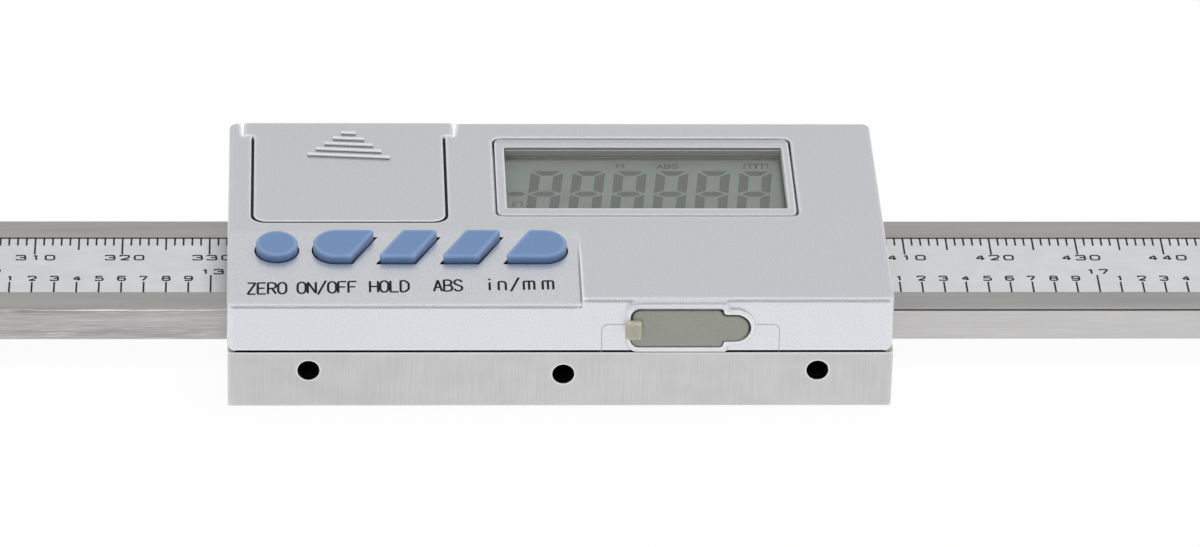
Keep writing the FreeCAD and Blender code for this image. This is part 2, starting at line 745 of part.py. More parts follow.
def tongue_spans(grow):
    """X and Y spans of the tongue under the cover's plate."""
    half = f"(cover_width / 2 + cover_tongue + {grow})"
    x = (f"{BATTERY_X} - {half}", f"{BATTERY_X} + {half}")
    return x, (f"{COVER_FRONT} - cover_tongue - ({grow})", REAR)


def open_battery_bay(body):
    """Slot for the cover's plate, groove for its tongue, notch for its flange and the battery's hole."""
    slot = sketch_on(body, "XY_Plane", HOUSING_TOP)
    cover_outline(slot, "cover_gap")
    pocket(body, slot, "cover_thickness + cover_play")
    reach = "(cover_width / 2 + ear_reach + cover_gap)"
    break_opening(body, ((f"{BATTERY_X} - {reach}", f"{BATTERY_X} + {reach}"),
                         (f"{COVER_FRONT} - cover_gap", EAR_FRONT)))
    groove = sketch_on(body, "XY_Plane", PLATE_BOTTOM)
    rectangle(groove, *tongue_spans("cover_gap"))
    pocket(body, groove, f"{PLATE_BOTTOM} - {GROOVE_BOTTOM}")
    notch = sketch_on(body, "XY_Plane", HOUSING_TOP)
    rectangle(notch, (f"{BATTERY_X} - {reach}", f"{BATTERY_X} + {reach}"),
              (f"{REAR} - rear_flange_thickness - cover_gap", REAR))
    pocket(body, notch, "rear_flange_height + cover_gap")
    slits = sketch_on(body, "XY_Plane", HOUSING_TOP)
    for side in ("-1", "1"):
        inner = f"{BATTERY_X} + {side} * (cover_width / 2 + ear_reach - ear_slit_front)"
        near_end = f"{BATTERY_X} + {side} * (cover_width / 2 + ear_reach + ear_slit_front)"
        far_end = f"{BATTERY_X} + {side} * (cover_width / 2 + ear_reach + ear_slit_rear)"
        corners = [(inner, EAR_FRONT), (near_end, EAR_FRONT), (far_end, REAR), (inner, REAR)]
        outline(slits, corners if side == "1" else corners[::-1])
    pocket(body, slits, "ear_slit_depth")
    hole = sketch_on(body, "XY_Plane", GROOVE_BOTTOM)
    circle(hole, BATTERY_X, BATTERY_Y, "battery_radius + holder_clearance")
    pocket(body, hole, f"{GROOVE_BOTTOM} - {CEILING}")


def open_display(body):
    """Opening for the bezel, and a wider pocket below it for the bezel's flange."""
    opening = sketch_on(body, "XY_Plane", HOUSING_TOP)
    spans = bezel_spans("bezel_gap")
    rounded_rectangle(opening, *spans, "(bezel_corner + bezel_gap)")
    pocket(body, opening, "ceiling_thickness")
    break_opening(body, spans)
    seat = sketch_on(body, "XY_Plane", CEILING)
    rectangle(seat, *bezel_spans("flange_reach + bezel_gap"))
    pocket(body, seat, "flange_pocket", backwards=True)


def bezel_spans(grow):
    """X and Y spans of the bezel, grown on all sides."""
    return ((f"{DISPLAY_X} - {BEZEL_HALF_X} - ({grow})", f"{DISPLAY_X} + {BEZEL_HALF_X} + {grow}"),
            (f"{DISPLAY_Y} - {BEZEL_HALF_Y} - ({grow})", f"{DISPLAY_Y} + {BEZEL_HALF_Y} + {grow}"))


def window_spans(grow):
    """X and Y spans of the window, grown on all sides."""
    return ((f"{DISPLAY_X} - window_width / 2 - ({grow})", f"{DISPLAY_X} + window_width / 2 + {grow}"),
            (f"{DISPLAY_Y} - window_depth / 2 - ({grow})", f"{DISPLAY_Y} + window_depth / 2 + {grow}"))


def plug_outline(body, offset, grow, rise="0", fall="0"):
    """The plug's face on the front wall: a rounded field that steps down to a round nose."""
    sketch = sketch_on(body, "XZ_Plane", offset)
    left, right = f"({PORT_X} - plug_length / 2 - {grow})", f"({PORT_X} + plug_length / 2 + {grow})"
    half = f"(plug_height / 2 + {grow})"
    low, high = f"({PORT_Z} - {half} - {fall})", f"({PORT_Z} + {half} + {rise})"
    nose_half = f"(plug_nose_height / 2 + {grow})"
    nose_low, nose_high = f"({PORT_Z} - {nose_half})", f"({PORT_Z} + {nose_half})"
    nose = f"({PORT_X} + plug_length / 2 + plug_nose_length - plug_nose_height / 2)"
    corner = f"(plug_corner + {grow})"
    corner_x, corner_low, corner_high = f"{left} + {corner}", f"{low} + {corner}", f"{high} - {corner}"
    low_turn, high_turn = f"({nose_low} - {low}) / 2", f"({high} - {nose_high}) / 2"
    corners = [(corner_x, low), (f"{right} - {low_turn}", low), (right, f"{low} + {low_turn}"),
               (f"{right} + {low_turn}", nose_low), (nose, nose_low), (nose, nose_high),
               (f"{right} + {high_turn}", nose_high), (right, f"{high} - {high_turn}"),
               (f"{right} - {high_turn}", high), (corner_x, high), (left, corner_high),
               (left, corner_low)]
    arcs = {1: (f"{right} - {low_turn}", f"{low} + {low_turn}"),
            2: (f"{right} + {low_turn}", f"{low} + {low_turn}"),
            4: (nose, PORT_Z),
            6: (f"{right} + {high_turn}", f"{high} - {high_turn}"),
            7: (f"{right} - {high_turn}", f"{high} - {high_turn}"),
            9: (corner_x, corner_high), 11: (corner_x, corner_low)}
    outline(sketch, corners, arcs)
    return sketch


def open_port(body):
    """Raised rim that fills the wall's rounded top edge, and the plug's hole through both."""
    rim = plug_outline(body, f"{REAR} - housing_edge", "rim_width", "rim_rise", "rim_fall")
    pad(body, rim, "housing_edge + rim_proud")
    rim_face = number(f"0 - {RIM_FACE}")
    dress(body, "Chamfer", "rim_edge", lambda box: near(box.YMin, rim_face) and near(box.YMax, rim_face))
    pocket(body, plug_outline(body, RIM_FACE, "plug_gap"), "rim_proud + plug_depth + plug_gap")


def make_plug():
    """Rubber plug of the data port, with a pull tab over the rim."""
    body = doc.addObject("PartDesign::Body", "port_plug")
    pad(body, plug_outline(body, PLUG_FACE, "0"), "rim_proud - plug_sunk + plug_depth", backwards=True)
    left = f"{PORT_X} - plug_length / 2"
    span_z = (f"{PORT_Z} - tab_drop - tab_height / 2", f"{PORT_Z} - tab_drop + tab_height / 2")
    root = sketch_on(body, "XZ_Plane", PLUG_FACE)
    tab_right = f"{left} - tab_overhang + tab_length"
    rounded_rectangle(root, (f"{left} + plug_gap", tab_right), span_z, "tab_corner")
    pad(body, root, "plug_sunk + tab_gap + tab_thickness")
    lip = sketch_on(body, "XZ_Plane", f"{RIM_FACE} + tab_gap")
    rounded_rectangle(lip, (f"{left} - tab_overhang", tab_right), span_z, "tab_corner")
    pad(body, lip, "tab_thickness")
    tab_face = number(f"0 - {RIM_FACE} - tab_gap - tab_thickness")
    dress(body, "Chamfer", "rim_edge", lambda box: near(box.YMin, tab_face) and near(box.YMax, tab_face))
    keep(body, "port_plug")


def make_socket():
    """Moulded socket behind the plug, with flat pins in its mouth."""
    x = (f"{PORT_X} - socket_length / 2", f"{PORT_X} + socket_length / 2")
    z = (BOARD_TOP, f"{BOARD_TOP} + socket_height")
    shell = block("socket_blank", x, (SOCKET_FRONT, f"{SOCKET_FRONT} + socket_depth"), z)
    mouth = block("socket_mouth", (f"{x[0]} + socket_wall", f"{x[1]} - socket_wall"),
                  (SOCKET_FRONT, f"{SOCKET_FRONT} + socket_mouth_depth"),
                  (f"{z[0]} + socket_wall", f"{z[1]} - socket_wall"))
    keep(cut("data_socket", shell, [mouth]), "data_socket")
    back = f"{SOCKET_FRONT} + socket_mouth_depth"
    pins = []
    for index in range(PIN_COUNT):
        middle = f"{PORT_X} + {index - (PIN_COUNT - 1) / 2} * pin_pitch"
        pins.append(block("pin", (f"{middle} - pin_width / 2", f"{middle} + pin_width / 2"),
                          (f"{back} - pin_length", back),
                          (f"{PIN_LEVEL} - pin_width / 2", f"{PIN_LEVEL} + pin_width / 2")))
    keep(group("data_contacts", pins), "data_contacts")


def make_bezel():
    """Frame sunk in the housing, with a flange under the ceiling and a rebate for the window."""
    body = doc.addObject("PartDesign::Body", "display_bezel")
    flange = sketch_on(body, "XY_Plane", FLANGE_BOTTOM)
    rectangle(flange, *bezel_spans("flange_reach"))
    pad(body, flange, "flange_thickness")
    ring = sketch_on(body, "XY_Plane", FLANGE_TOP)
    rounded_rectangle(ring, *bezel_spans("0"), "bezel_corner")
    pad(body, ring, f"{BEZEL_TOP} - {FLANGE_TOP}")
    opening = sketch_on(body, "XY_Plane", BEZEL_TOP)
    rectangle(opening, *window_spans("0"))
    pocket(body, opening, f"{BEZEL_TOP} - {FLANGE_BOTTOM}")
    rebate = sketch_on(body, "XY_Plane", FLANGE_BOTTOM)
    rectangle(rebate, *window_spans("window_seat + window_clearance"))
    pocket(body, rebate, "window_air_gap + window_thickness", backwards=True)
    top = number(BEZEL_TOP)
    dress(body, "Chamfer", "bezel_edge", lambda box: level_at(box, top))
    keep(body, "display_bezel")


def make_display():
    """Window, liquid crystal cell, reflector, rubber connector and the frame that carries them."""
    low = f"{FLANGE_BOTTOM} + window_air_gap"
    pane = block("display_window", *window_spans("window_seat"), (low, f"{low} + window_thickness"))
    keep(pane, "display_window")
    x, y = bezel_spans("flange_reach")
    keep(block("lcd_glass", x, y, (LCD_BOTTOM, FLANGE_BOTTOM)), "lcd_glass")
    inner_x = (f"{DISPLAY_X} - {BEZEL_HALF_X}", f"{DISPLAY_X} + {BEZEL_HALF_X}")
    zebra = block("zebra_connector", inner_x, (ZEBRA_FRONT, ZEBRA_REAR), (BOARD_TOP, LCD_BOTTOM))
    keep(zebra, "zebra_connector")
    front = f"{ZEBRA_REAR} + carrier_gap"
    keep(block("lcd_reflector", inner_x, (front, y[1]), (CARRIER_TOP, LCD_BOTTOM)), "lcd_reflector")
    carrier_y = (front, BOARD_Y)
    frame = block("carrier_blank", inner_x, carrier_y, (BOARD_TOP, CARRIER_TOP))
    inside = block("carrier_inside", (f"{inner_x[0]} + carrier_wall", f"{inner_x[1]} - carrier_wall"),
                   (f"{carrier_y[0]} + carrier_wall", f"{carrier_y[1]} - carrier_wall"),
                   (BOARD_TOP, CARRIER_TOP))
    keep(cut("display_carrier", frame, [inside]), "display_carrier")


def board_screw_places():
    """Two screws of the board, clear of the battery, the keypad mat and the socket."""
    return [(f"{RIGHT} - board_screw_from_side", f"0 - {BOARD_Y} + board_screw_inset"),
            (f"{DISPLAY_X} - {BEZEL_HALF_X} - board_screw_pad", f"{BOARD_Y} - board_screw_inset")]


def make_board():
    """Circuit board on the carriage, its screws, the sensor plate below and the parts above."""
    holes = []
    screws = []
    for x, y in board_screw_places():
        low = f"{CARRIAGE_TOP} - board_screw_reach"
        length = "board_screw_reach + board_thickness"
        hole_radius = "board_screw_radius + thread_clearance"
        holes.append(rod("board_hole", hole_radius, "board_thickness", (x, y, CARRIAGE_TOP)))
        head_start = (x, y, BOARD_TOP)
        head = rod("board_screw_head", "board_screw_head_radius", "board_screw_head_height", head_start)
        shank = rod("board_screw_shank", "board_screw_radius", length, (x, y, low))
        screws.append(fuse("board_screw", [head, shank]))
    span_x, span_y = (f"0 - {BOARD_X}", BOARD_X), (f"0 - {BOARD_Y}", BOARD_Y)
    blank = block("board_blank", span_x, span_y, (CARRIAGE_TOP, BOARD_TOP))
    keep(cut("main_board", blank, holes), "main_board")
    keep(group("board_screws", screws), "board_screws")
    keep(block("sensor_plate", ("0 - sensor_length / 2", "sensor_length / 2"),
               ("0 - sensor_width / 2", "sensor_width / 2"),
               (f"{CARRIAGE_TOP} - sensor_thickness", CARRIAGE_TOP)), "sensor_plate")
    keep(block("controller_chip", (f"{DISPLAY_X} - chip_size / 2", f"{DISPLAY_X} + chip_size / 2"),
               (f"{DISPLAY_Y} - chip_size / 2", f"{DISPLAY_Y} + chip_size / 2"),
               (BOARD_TOP, f"{BOARD_TOP} + chip_height")), "controller_chip")
    can_start = (f"{DISPLAY_X} - chip_size / 2 - crystal_gap - crystal_radius",
                 f"{DISPLAY_Y} - crystal_length / 2", f"{BOARD_TOP} + crystal_radius")
    keep(rod("crystal", "crystal_radius", "crystal_length", can_start, "Y"), "crystal")
    chips = []
    row_y = f"({DISPLAY_Y} - chip_size / 2)"
    row_x = f"{DISPLAY_X} + chip_size / 2 + capacitor_gap"
    for index in range(CAPACITOR_COUNT):
        y = f"{row_y} + {index} * capacitor_pitch"
        chips.append(block("capacitor", (row_x, f"{row_x} + capacitor_length"), (y, f"{y} + capacitor_width"),
                           (BOARD_TOP, f"{BOARD_TOP} + capacitor_width")))
    keep(group("chip_capacitors", chips), "chip_capacitors")


def make_battery():
    """Coin cell in a square holder with a round bore, with a contact under it and one at its side."""
    centre = (BATTERY_X, BATTERY_Y)
    inner = "battery_radius + holder_clearance"
    holder_top = f"{CEILING} - holder_headroom"
    cup = block("holder_blank", (f"{BATTERY_X} - {HOLDER_HALF}", f"{BATTERY_X} + {HOLDER_HALF}"),
                (f"{BATTERY_Y} - {HOLDER_HALF}", f"{BATTERY_Y} + {HOLDER_HALF}"), (BOARD_TOP, holder_top))
    bore = rod("holder_bore", inner, f"{holder_top} - {HOLDER_FLOOR}", (*centre, HOLDER_FLOOR))
    side_y = f"({BATTERY_Y} - battery_radius - contact_gap - contact_thickness)"
    half = "(contact_width / 2 + contact_clearance)"
    gate = block("holder_gate", (f"{BATTERY_X} - {half}", f"{BATTERY_X} + {half}"),
                 (f"{BATTERY_Y} - {HOLDER_HALF}", f"{side_y} + contact_thickness + contact_clearance"),
                 (BOARD_TOP, holder_top))
    leg_hole = block("holder_leg_hole", (f"{BATTERY_X} - {half}", f"{BATTERY_X} + {half}"),
                     (f"{BATTERY_Y} - contact_thickness - contact_clearance",
                      f"{BATTERY_Y} + contact_thickness + contact_clearance"), (BOARD_TOP, HOLDER_FLOOR))
    cuts = fuse("holder_cuts", [bore, gate])
    keep(cut("battery_holder", cup, [cuts, leg_hole]), "battery_holder")
    x = (f"{BATTERY_X} - contact_width / 2", f"{BATTERY_X} + contact_width / 2")
    keep(block("battery_contact_positive", x, (side_y, f"{side_y} + contact_thickness"),
               (BOARD_TOP, f"{BATTERY_BOTTOM} + battery_height / 2")), "battery_contact_positive")
    leg_y = (f"{BATTERY_Y} - contact_thickness", f"{BATTERY_Y} + contact_thickness")
    leg = block("negative_leg", x, leg_y, (BOARD_TOP, BATTERY_BOTTOM))
    leaf_half = "negative_contact_length / 2"
    leaf_x = (f"{BATTERY_X} - {leaf_half}", f"{BATTERY_X} + {leaf_half}")
    leaf_y = (f"{BATTERY_Y} - contact_width / 2", f"{BATTERY_Y} + contact_width / 2")
    leaf = block("negative_leaf", leaf_x, leaf_y, (HOLDER_FLOOR, BATTERY_BOTTOM))
    keep(fuse("battery_contact_negative", [leg, leaf]), "battery_contact_negative")
    keep(rod("battery_cell", "battery_radius", "battery_height", (*centre, BATTERY_BOTTOM)), "battery_cell")


def make_cover():
    """Sliding lid: plate flush with the top, tongue below it, flange at the rear and grip ridges."""
    body = doc.addObject("PartDesign::Body", "battery_cover")
    plate = sketch_on(body, "XY_Plane", TONGUE_TOP)
    cover_outline(plate, "0")
    pad(body, plate, f"{HOUSING_TOP} - {TONGUE_TOP}")
    rear, top = number(REAR), number(HOUSING_TOP)
    dress(body, "Fillet", "ear_corner", lambda box: upright(box) and near(box.YMin, rear))
    dress(body, "Chamfer", "cover_edge", lambda box: level_at(box, top))
    tongue = sketch_on(body, "XY_Plane", TONGUE_TOP)
    spans = tongue_spans("cover_gap - cover_play")
    flange_front = f"{REAR} - rear_flange_thickness"
    rectangle(tongue, spans[0], (spans[1][0], flange_front))
    pad(body, tongue, "tongue_thickness", backwards=True)
    flange = sketch_on(body, "XY_Plane", f"{HOUSING_TOP} - rear_flange_height")
    reach = "(cover_width / 2 + ear_reach - ear_corner)"
    rectangle(flange, (f"{BATTERY_X} - {reach}", f"{BATTERY_X} + {reach}"), (flange_front, REAR))
    pad(body, flange, f"rear_flange_height - {HOUSING_TOP} + {TONGUE_TOP}")
    ridges = sketch_on(body, "XY_Plane", HOUSING_TOP)
    for index in range(RIDGE_COUNT):
        half = f"(ridge_length - {index} * ridge_shortening) / 2"
        middle = f"{REAR} - ridge_from_rear + {index} * ridge_pitch"
        rise = f"{half} * ridge_slope"
        left, right = f"{BATTERY_X} - {half}", f"{BATTERY_X} + {half}"
        left_y, right_y = f"{middle} + {rise}", f"{middle} - {rise}"
        outline(ridges, [(left, f"{left_y} - ridge_width / 2"), (right, f"{right_y} - ridge_width / 2"),
                         (right, f"{right_y} + ridge_width / 2"), (left, f"{left_y} + ridge_width / 2")])
    pad(body, ridges, "ridge_height")
    keep(body, "battery_cover")


def leaning_key(middle):
    """A parallelogram key whose rear stands to the right."""
    def draw(sketch, grow):
        half = f"(key_width / 2 + {grow})"
        front, rear = f"{KEY_FRONT} - ({grow})", f"{KEY_REAR} + {grow}"
        front_middle, rear_middle = f"{middle} - key_lean / 2", f"{middle} + key_lean / 2"
        corners = [(f"{front_middle} - {half}", front), (f"{front_middle} + {half}", front),
                   (f"{rear_middle} + {half}", rear), (f"{rear_middle} - {half}", rear)]
        outline(sketch, corners)
        return corners
    return draw


def draw_power_key(sketch, grow):
    """A key that is round on the left and leans on the right."""
    centre = f"{POWER_X} - {ROUND_CENTRE}"
    front, rear = f"{KEY_FRONT} - ({grow})", f"{KEY_REAR} + {grow}"
    corners = [(centre, front), (f"{POWER_X} - key_lean / 2 + {grow}", front),
               (f"{POWER_X} + key_lean / 2 + {grow}", rear), (centre, rear)]
    outline(sketch, corners, {3: (centre, KEYS_Y)})
    return corners[1:3]


def draw_unit_key(sketch, grow):
    """A key that leans on the left and is round on the right."""
    centre = f"{UNIT_X} + {ROUND_CENTRE}"
    front, rear = f"{KEY_FRONT} - ({grow})", f"{KEY_REAR} + {grow}"
    corners = [(f"{UNIT_X} - key_lean / 2 - ({grow})", front), (centre, front), (centre, rear),
               (f"{UNIT_X} + key_lean / 2 - ({grow})", rear)]
    outline(sketch, corners, {1: (centre, KEYS_Y)})
    return [corners[0], corners[3]]


def draw_zero_key(sketch, grow):
    """A round key."""
    circle(sketch, ZERO_X, KEYS_Y, f"key_zero_radius + {grow}")
    return []


KEYS = {
    "key_zero": draw_zero_key,
    "key_power": draw_power_key,
    "key_hold": leaning_key(f"({KEYS_X} - {KEY_STEP})"),
    "key_abs": leaning_key(f"({KEYS_X} + {KEY_STEP})"),
    "key_unit": draw_unit_key,
}
PILLS = {
    "key_zero": ZERO_X,
    "key_power": f"{POWER_X} - key_round_width / 2",
    "key_hold": f"{KEYS_X} - {KEY_STEP}",
    "key_abs": f"{KEYS_X} + {KEY_STEP}",
    "key_unit": f"{UNIT_X} + key_round_width / 2",
}


def under_key(name, size):
    """X and Y spans of a square under the middle of a key."""
    return [(f"{middle} - ({size}) / 2", f"{middle} + ({size}) / 2") for middle in (PILLS[name], KEYS_Y)]


def make_key(name, draw_key):
    """Silicone key: cap with a sloped top, ears under the housing's ceiling, stem and carbon pill."""
    body = doc.addObject("PartDesign::Body", name)
    cap = sketch_on(body, "XY_Plane", KEY_FLANGE_TOP)
    sharp = [(number(x), number(y)) for x, y in draw_key(cap, "0")]
    pad(body, cap, f"{KEY_TOP} - {KEY_FLANGE_TOP}")

    def at_corner(box):
        return upright(box) and any(near(box.XMin, x) and near(box.YMin, y) for x, y in sharp)

    if sharp:
        dress(body, "Fillet", "key_corner", at_corner)
    slope = sketch_on(body, "YZ_Plane", KEYPAD_EDGE)
    before, behind, over = f"{KEY_FRONT} - key_depth", f"{KEY_REAR} + key_depth", f"{KEY_TOP} + key_fall"
    outline(slope, [(before, f"{KEY_TOP} - 2 * key_fall"), (behind, over), (before, over)])
    pocket(body, slope, "keypad_from_side")
    field = number(HOUSING_TOP)
    dress(body, "Chamfer", "key_edge", lambda box: box.ZMin > field)
    ears = sketch_on(body, "XY_Plane", KEY_FLANGE_BOTTOM)
    rectangle(ears, under_key(name, "key_stem")[0], (f"{KEY_FRONT} - key_flange", f"{KEY_REAR} + key_flange"))
    pad(body, ears, "key_flange_thickness")
    stem = sketch_on(body, "XY_Plane", PILL_TOP)
    rectangle(stem, *under_key(name, "key_stem"))
    pad(body, stem, f"{KEY_FLANGE_BOTTOM} - {PILL_TOP}")
    keep(body, name)
    pill = name.replace("key_", "carbon_pill_")
    keep(block(pill, *under_key(name, "pill_size"), (PILL_BOTTOM, PILL_TOP)), pill)


def make_mat():
    """Silicone sheet on the board, open round each key's stem."""
    body = doc.addObject("PartDesign::Body", "keypad_mat")
    sheet = sketch_on(body, "XY_Plane", BOARD_TOP)
    rectangle(sheet, (f"{ZERO_X} - key_zero_radius / 2 - mat_border", f"{KEYPAD_EDGE} - mat_border"),
              (f"{KEY_FRONT} - mat_border", f"{KEY_REAR} + mat_border"))
    pad(body, sheet, "mat_thickness")
    holes = sketch_on(body, "XY_Plane", f"{BOARD_TOP} + mat_thickness")
    for name in KEYS:
        rectangle(holes, *under_key(name, "key_stem + 2 * mat_clearance"))
    pocket(body, holes, "mat_thickness")
    keep(body, "keypad_mat")


def check_document():
    """Stop if anything failed, came out empty or cut nothing."""
    for item in doc.Objects:
        if "Invalid" in item.State or "Error" in item.State:
            raise RuntimeError(f"{item.Label} failed: {item.State}")
        if item.TypeId == "PartDesign::Pocket" and item.Shape.Volume >= item.BaseFeature.Shape.Volume:
            raise RuntimeError(f"{item.Label} cuts nothing")
        if item.TypeId == "Part::Cut" and item.Shape.Volume >= item.Base.Shape.Volume:
            raise RuntimeError(f"{item.Label} cuts nothing")
    for name, item in parts.items():
        if item.Shape.isNull() or not item.Shape.isValid() or not item.Shape.Solids:
            raise RuntimeError(f"{name} has no valid solid")


def write_parts():
    """One file for each sub-part."""
    os.makedirs("parts", exist_ok=True)
    for name, item in parts.items():
        item.Shape.exportStep(f"parts/{name}.step")


make_beam()
make_strips()
make_bracket("end_bracket_left", f"(0 - {BEAM_END})")
make_bracket("end_bracket_right", f"({BEAM_END} - bracket_length)")
make_bracket_screws()
make_carriage()
make_gib()
make_housing_screws()
make_housing()
make_board()
make_bezel()
make_display()
make_battery()
make_cover()
for key_name, key_drawing in KEYS.items():
    make_key(key_name, key_drawing)
make_mat()
make_socket()
make_plug()
doc.recompute()
check_document()
write_parts()
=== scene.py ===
import math

import bpy
import numpy as np
from mathutils import Matrix, Vector


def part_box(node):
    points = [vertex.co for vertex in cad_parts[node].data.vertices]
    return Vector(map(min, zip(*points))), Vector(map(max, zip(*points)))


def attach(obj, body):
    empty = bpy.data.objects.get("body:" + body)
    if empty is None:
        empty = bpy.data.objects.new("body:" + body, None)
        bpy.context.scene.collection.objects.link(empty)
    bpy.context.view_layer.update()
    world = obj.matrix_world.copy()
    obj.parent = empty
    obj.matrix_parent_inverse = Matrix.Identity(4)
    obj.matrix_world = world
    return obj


# Looks of a digital linear scale. Sizes are millimetres in the part's own frame, and become metres in a mesh.

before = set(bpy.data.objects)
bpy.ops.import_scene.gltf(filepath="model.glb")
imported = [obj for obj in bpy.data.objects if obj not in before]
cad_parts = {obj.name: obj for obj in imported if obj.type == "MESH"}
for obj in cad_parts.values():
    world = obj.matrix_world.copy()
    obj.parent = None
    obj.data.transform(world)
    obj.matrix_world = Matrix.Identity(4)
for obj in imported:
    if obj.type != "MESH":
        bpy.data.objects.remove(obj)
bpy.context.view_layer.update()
MM = 0.001

# Printed label: ticks and numbers in X along the beam and Y across it
LABEL_ZERO = -369.6
LABEL_END = 740
TICK_WIDTH = 0.21
TICK_START = 6.12
TICK_ENDS = {1: 4.4, 5: 3.4, 10: 2.4}
INCH = 25.4
INCH_TICK_START = -6.05
INCH_TENTH_END = -3.75
INCH_WHOLE_END = -2.25
NUMERAL_STROKE = 0.23
NUMERAL_ROUNDING = 0.3
NUMBER_SHIFT = 0.12
WIDE_NUMBER_SHIFT = 0.3
PRINT_THICKNESS = 0.012
BORDER_WIDTH = 0.1
BORDER_INSET = 0.2
# A row of numbers: pitch, width and height of a digit, and the row's baseline
MILLIMETRE_ROW = (1.65, 1.0, 1.0, 1.17)
TENTH_ROW = (1.5, 0.82, 0.92, -3.42)
INCH_ROW = (1.55, 0.95, 0.95, -1.95)

# Key legends: text, its left and right end in X, and the width of a letter
LEGENDS = [("ZERO", -35.25, -30.65, 0.9), ("ON/OFF", -29.65, -22.8, 0.9), ("HOLD", -21.55, -16.95, 0.9),
           ("ABS", -14.4, -10.95, 0.9), ("i", -8.5, -7.52, 0.7), ("n", -7.15, -6.05, 0.8),
           ("/", -5.8, -4.56, 0.94), ("m", -4.33, -2.85, 1.18), ("m", -2.2, -0.73, 1.18)]
LEGEND_HEIGHT = 2.2
LEGEND_STROKE = 0.27
LEGEND_ROUNDING = 0.2
LEGEND_BASELINE = -16.72
LEGEND_TILT = 0.028

# Keypad field: where its slope starts in Y, how deep it falls at the front, and its right end in X
KEYPAD_START = -5.0
KEYPAD_DROP = 0.85
KEYPAD_END = 2.25

# Tapped holes in the front: X and Z, and the blunt tooth of their thread
HOLES = [(-28.3, 5.1), (0.3, 4.6), (28.9, 5.1)]
HOLE_RADIUS = 1.25
HOLE_DEPTH = 6.1
THREAD_TURNS = 11
THREAD_STEPS = 20
THREAD_PITCH = 0.5
THREAD_START = 0.35
THREAD_ROOT, THREAD_CREST = 1.27, 1.09
ROOT_HALF, CREST_HALF = 0.2, 0.05

# Seam of the port's mould insert: X of its sides and of the port's rim beside them, and its top in Z
SEAM_SIDES = [(4.5, 7.1), (24.45, 21.8)]
SEAM_TOP = 11.1
SEAM_ROUNDING = 0.8
SEAM_WIDTH = 0.07
SEAM_HEIGHT = 0.015
SEAM_FOOT = 0.05

# Display: digits and signs about the cell's middle
DIGIT_COUNT = 6
DIGIT_PITCH = 4.84
DIGIT_WIDTH = 3.75
DIGIT_HALF = 5.25
DIGIT_SLANT = 0.1
DIGIT_LEFT = -13.37
DIGIT_MIDDLE = -0.53
SEGMENT_WIDTH = 1.1
SEGMENT_GAP = 0.14
MINUS_EDGE = [(-2.4, 0.05), (-1.85, 0.5), (-0.9, 0.5), (-0.35, 0.05)]
# Signs: text, its left and right end, its baseline and height, and the width of a letter
SIGNS = [("in", -15.7, -14.1, -2.95, 1.5, 0.75), ("H", -2.95, -2.1, 6.0, 0.95, 0.7),
         ("ABS", 1.65, 4.25, 5.9, 0.95, 0.65), ("mm", 11.8, 14.7, 5.85, 1.4, 1.3)]
SIGN_STROKE = 0.2
SIGN_ROUNDING = 0.2


# Geometry helpers

def span(node):
    """A solid's lowest and highest corner, in millimetres."""
    return [np.array(corner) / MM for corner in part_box(node)]


FRONT = span("carriage_base")[0][1]
KEYPAD_FALL = KEYPAD_DROP / (KEYPAD_START - FRONT)
SHARPEST_MITRE = 0.6
LONGEST_CURVE = 0.45


def skin(rings, closed=False):
    """Quads over a grid of rings that follow a path, with capped ends or the last ring joined to the first.

    A cap pairs the points of a ring from both sides, so each ring has an even number of them. The signed
    volume under the quads tells whether they point outwards, and turns them if not.
    """
    count, around = rings.shape[:2]
    points = rings.reshape(-1, 3)
    index = np.arange(count * around).reshape(count, around)
    if closed:
        index = np.vstack([index, index[:1]])
    beside = np.roll(index, -1, axis=1)
    quads = np.stack([index[:-1], beside[:-1], beside[1:], index[1:]], axis=-1).reshape(-1, 4)
    if not closed:
        step = np.arange(around // 2 - 1)
        cap = np.stack([step, step + 1, around - 2 - step, around - 1 - step], axis=-1)
        quads = np.vstack([quads, index[0][cap[:, ::-1]], index[-1][cap]])
    corners = points[quads] - points.mean(axis=0)
    diagonals = np.cross(corners[:, 2] - corners[:, 0], corners[:, 3] - corners[:, 1])
    if np.sum(corners.mean(axis=1) * diagonals) < 0:
        quads = quads[:, ::-1]
    return points, quads


def plate(one_edge, other_edge, low, high, closed=False):
    """A flat shape between two edges with paired points, from a low to a high level."""
    corners = np.stack([one_edge, one_edge, other_edge, other_edge], axis=1)
    levels = np.broadcast_to(np.array([low, high, high, low])[None, :, None], (*corners.shape[:2], 1))
    return skin(np.concatenate([corners, levels], axis=-1), closed)


def ribbon(path, width, low, high, closed=False):
    """A flat stroke: the path moved half a width to either side along its normals, longer at each corner."""
    inward = path - np.roll(path, 1, axis=0)
    onward = np.roll(path, -1, axis=0) - path
    if not closed:
        inward[0], onward[-1] = onward[0], inward[-1]
    inward /= np.linalg.norm(inward, axis=1, keepdims=True)
    onward /= np.linalg.norm(onward, axis=1, keepdims=True)
    along = inward + onward
    along /= np.linalg.norm(along, axis=1, keepdims=True)
    mitre = 1 / np.clip(np.sum(along * onward, axis=1), SHARPEST_MITRE, 1)
    normal = np.stack([-along[:, 1], along[:, 0]], axis=1) * mitre[:, None] * width / 2
    return plate(path + normal, path - normal, low, high, closed)


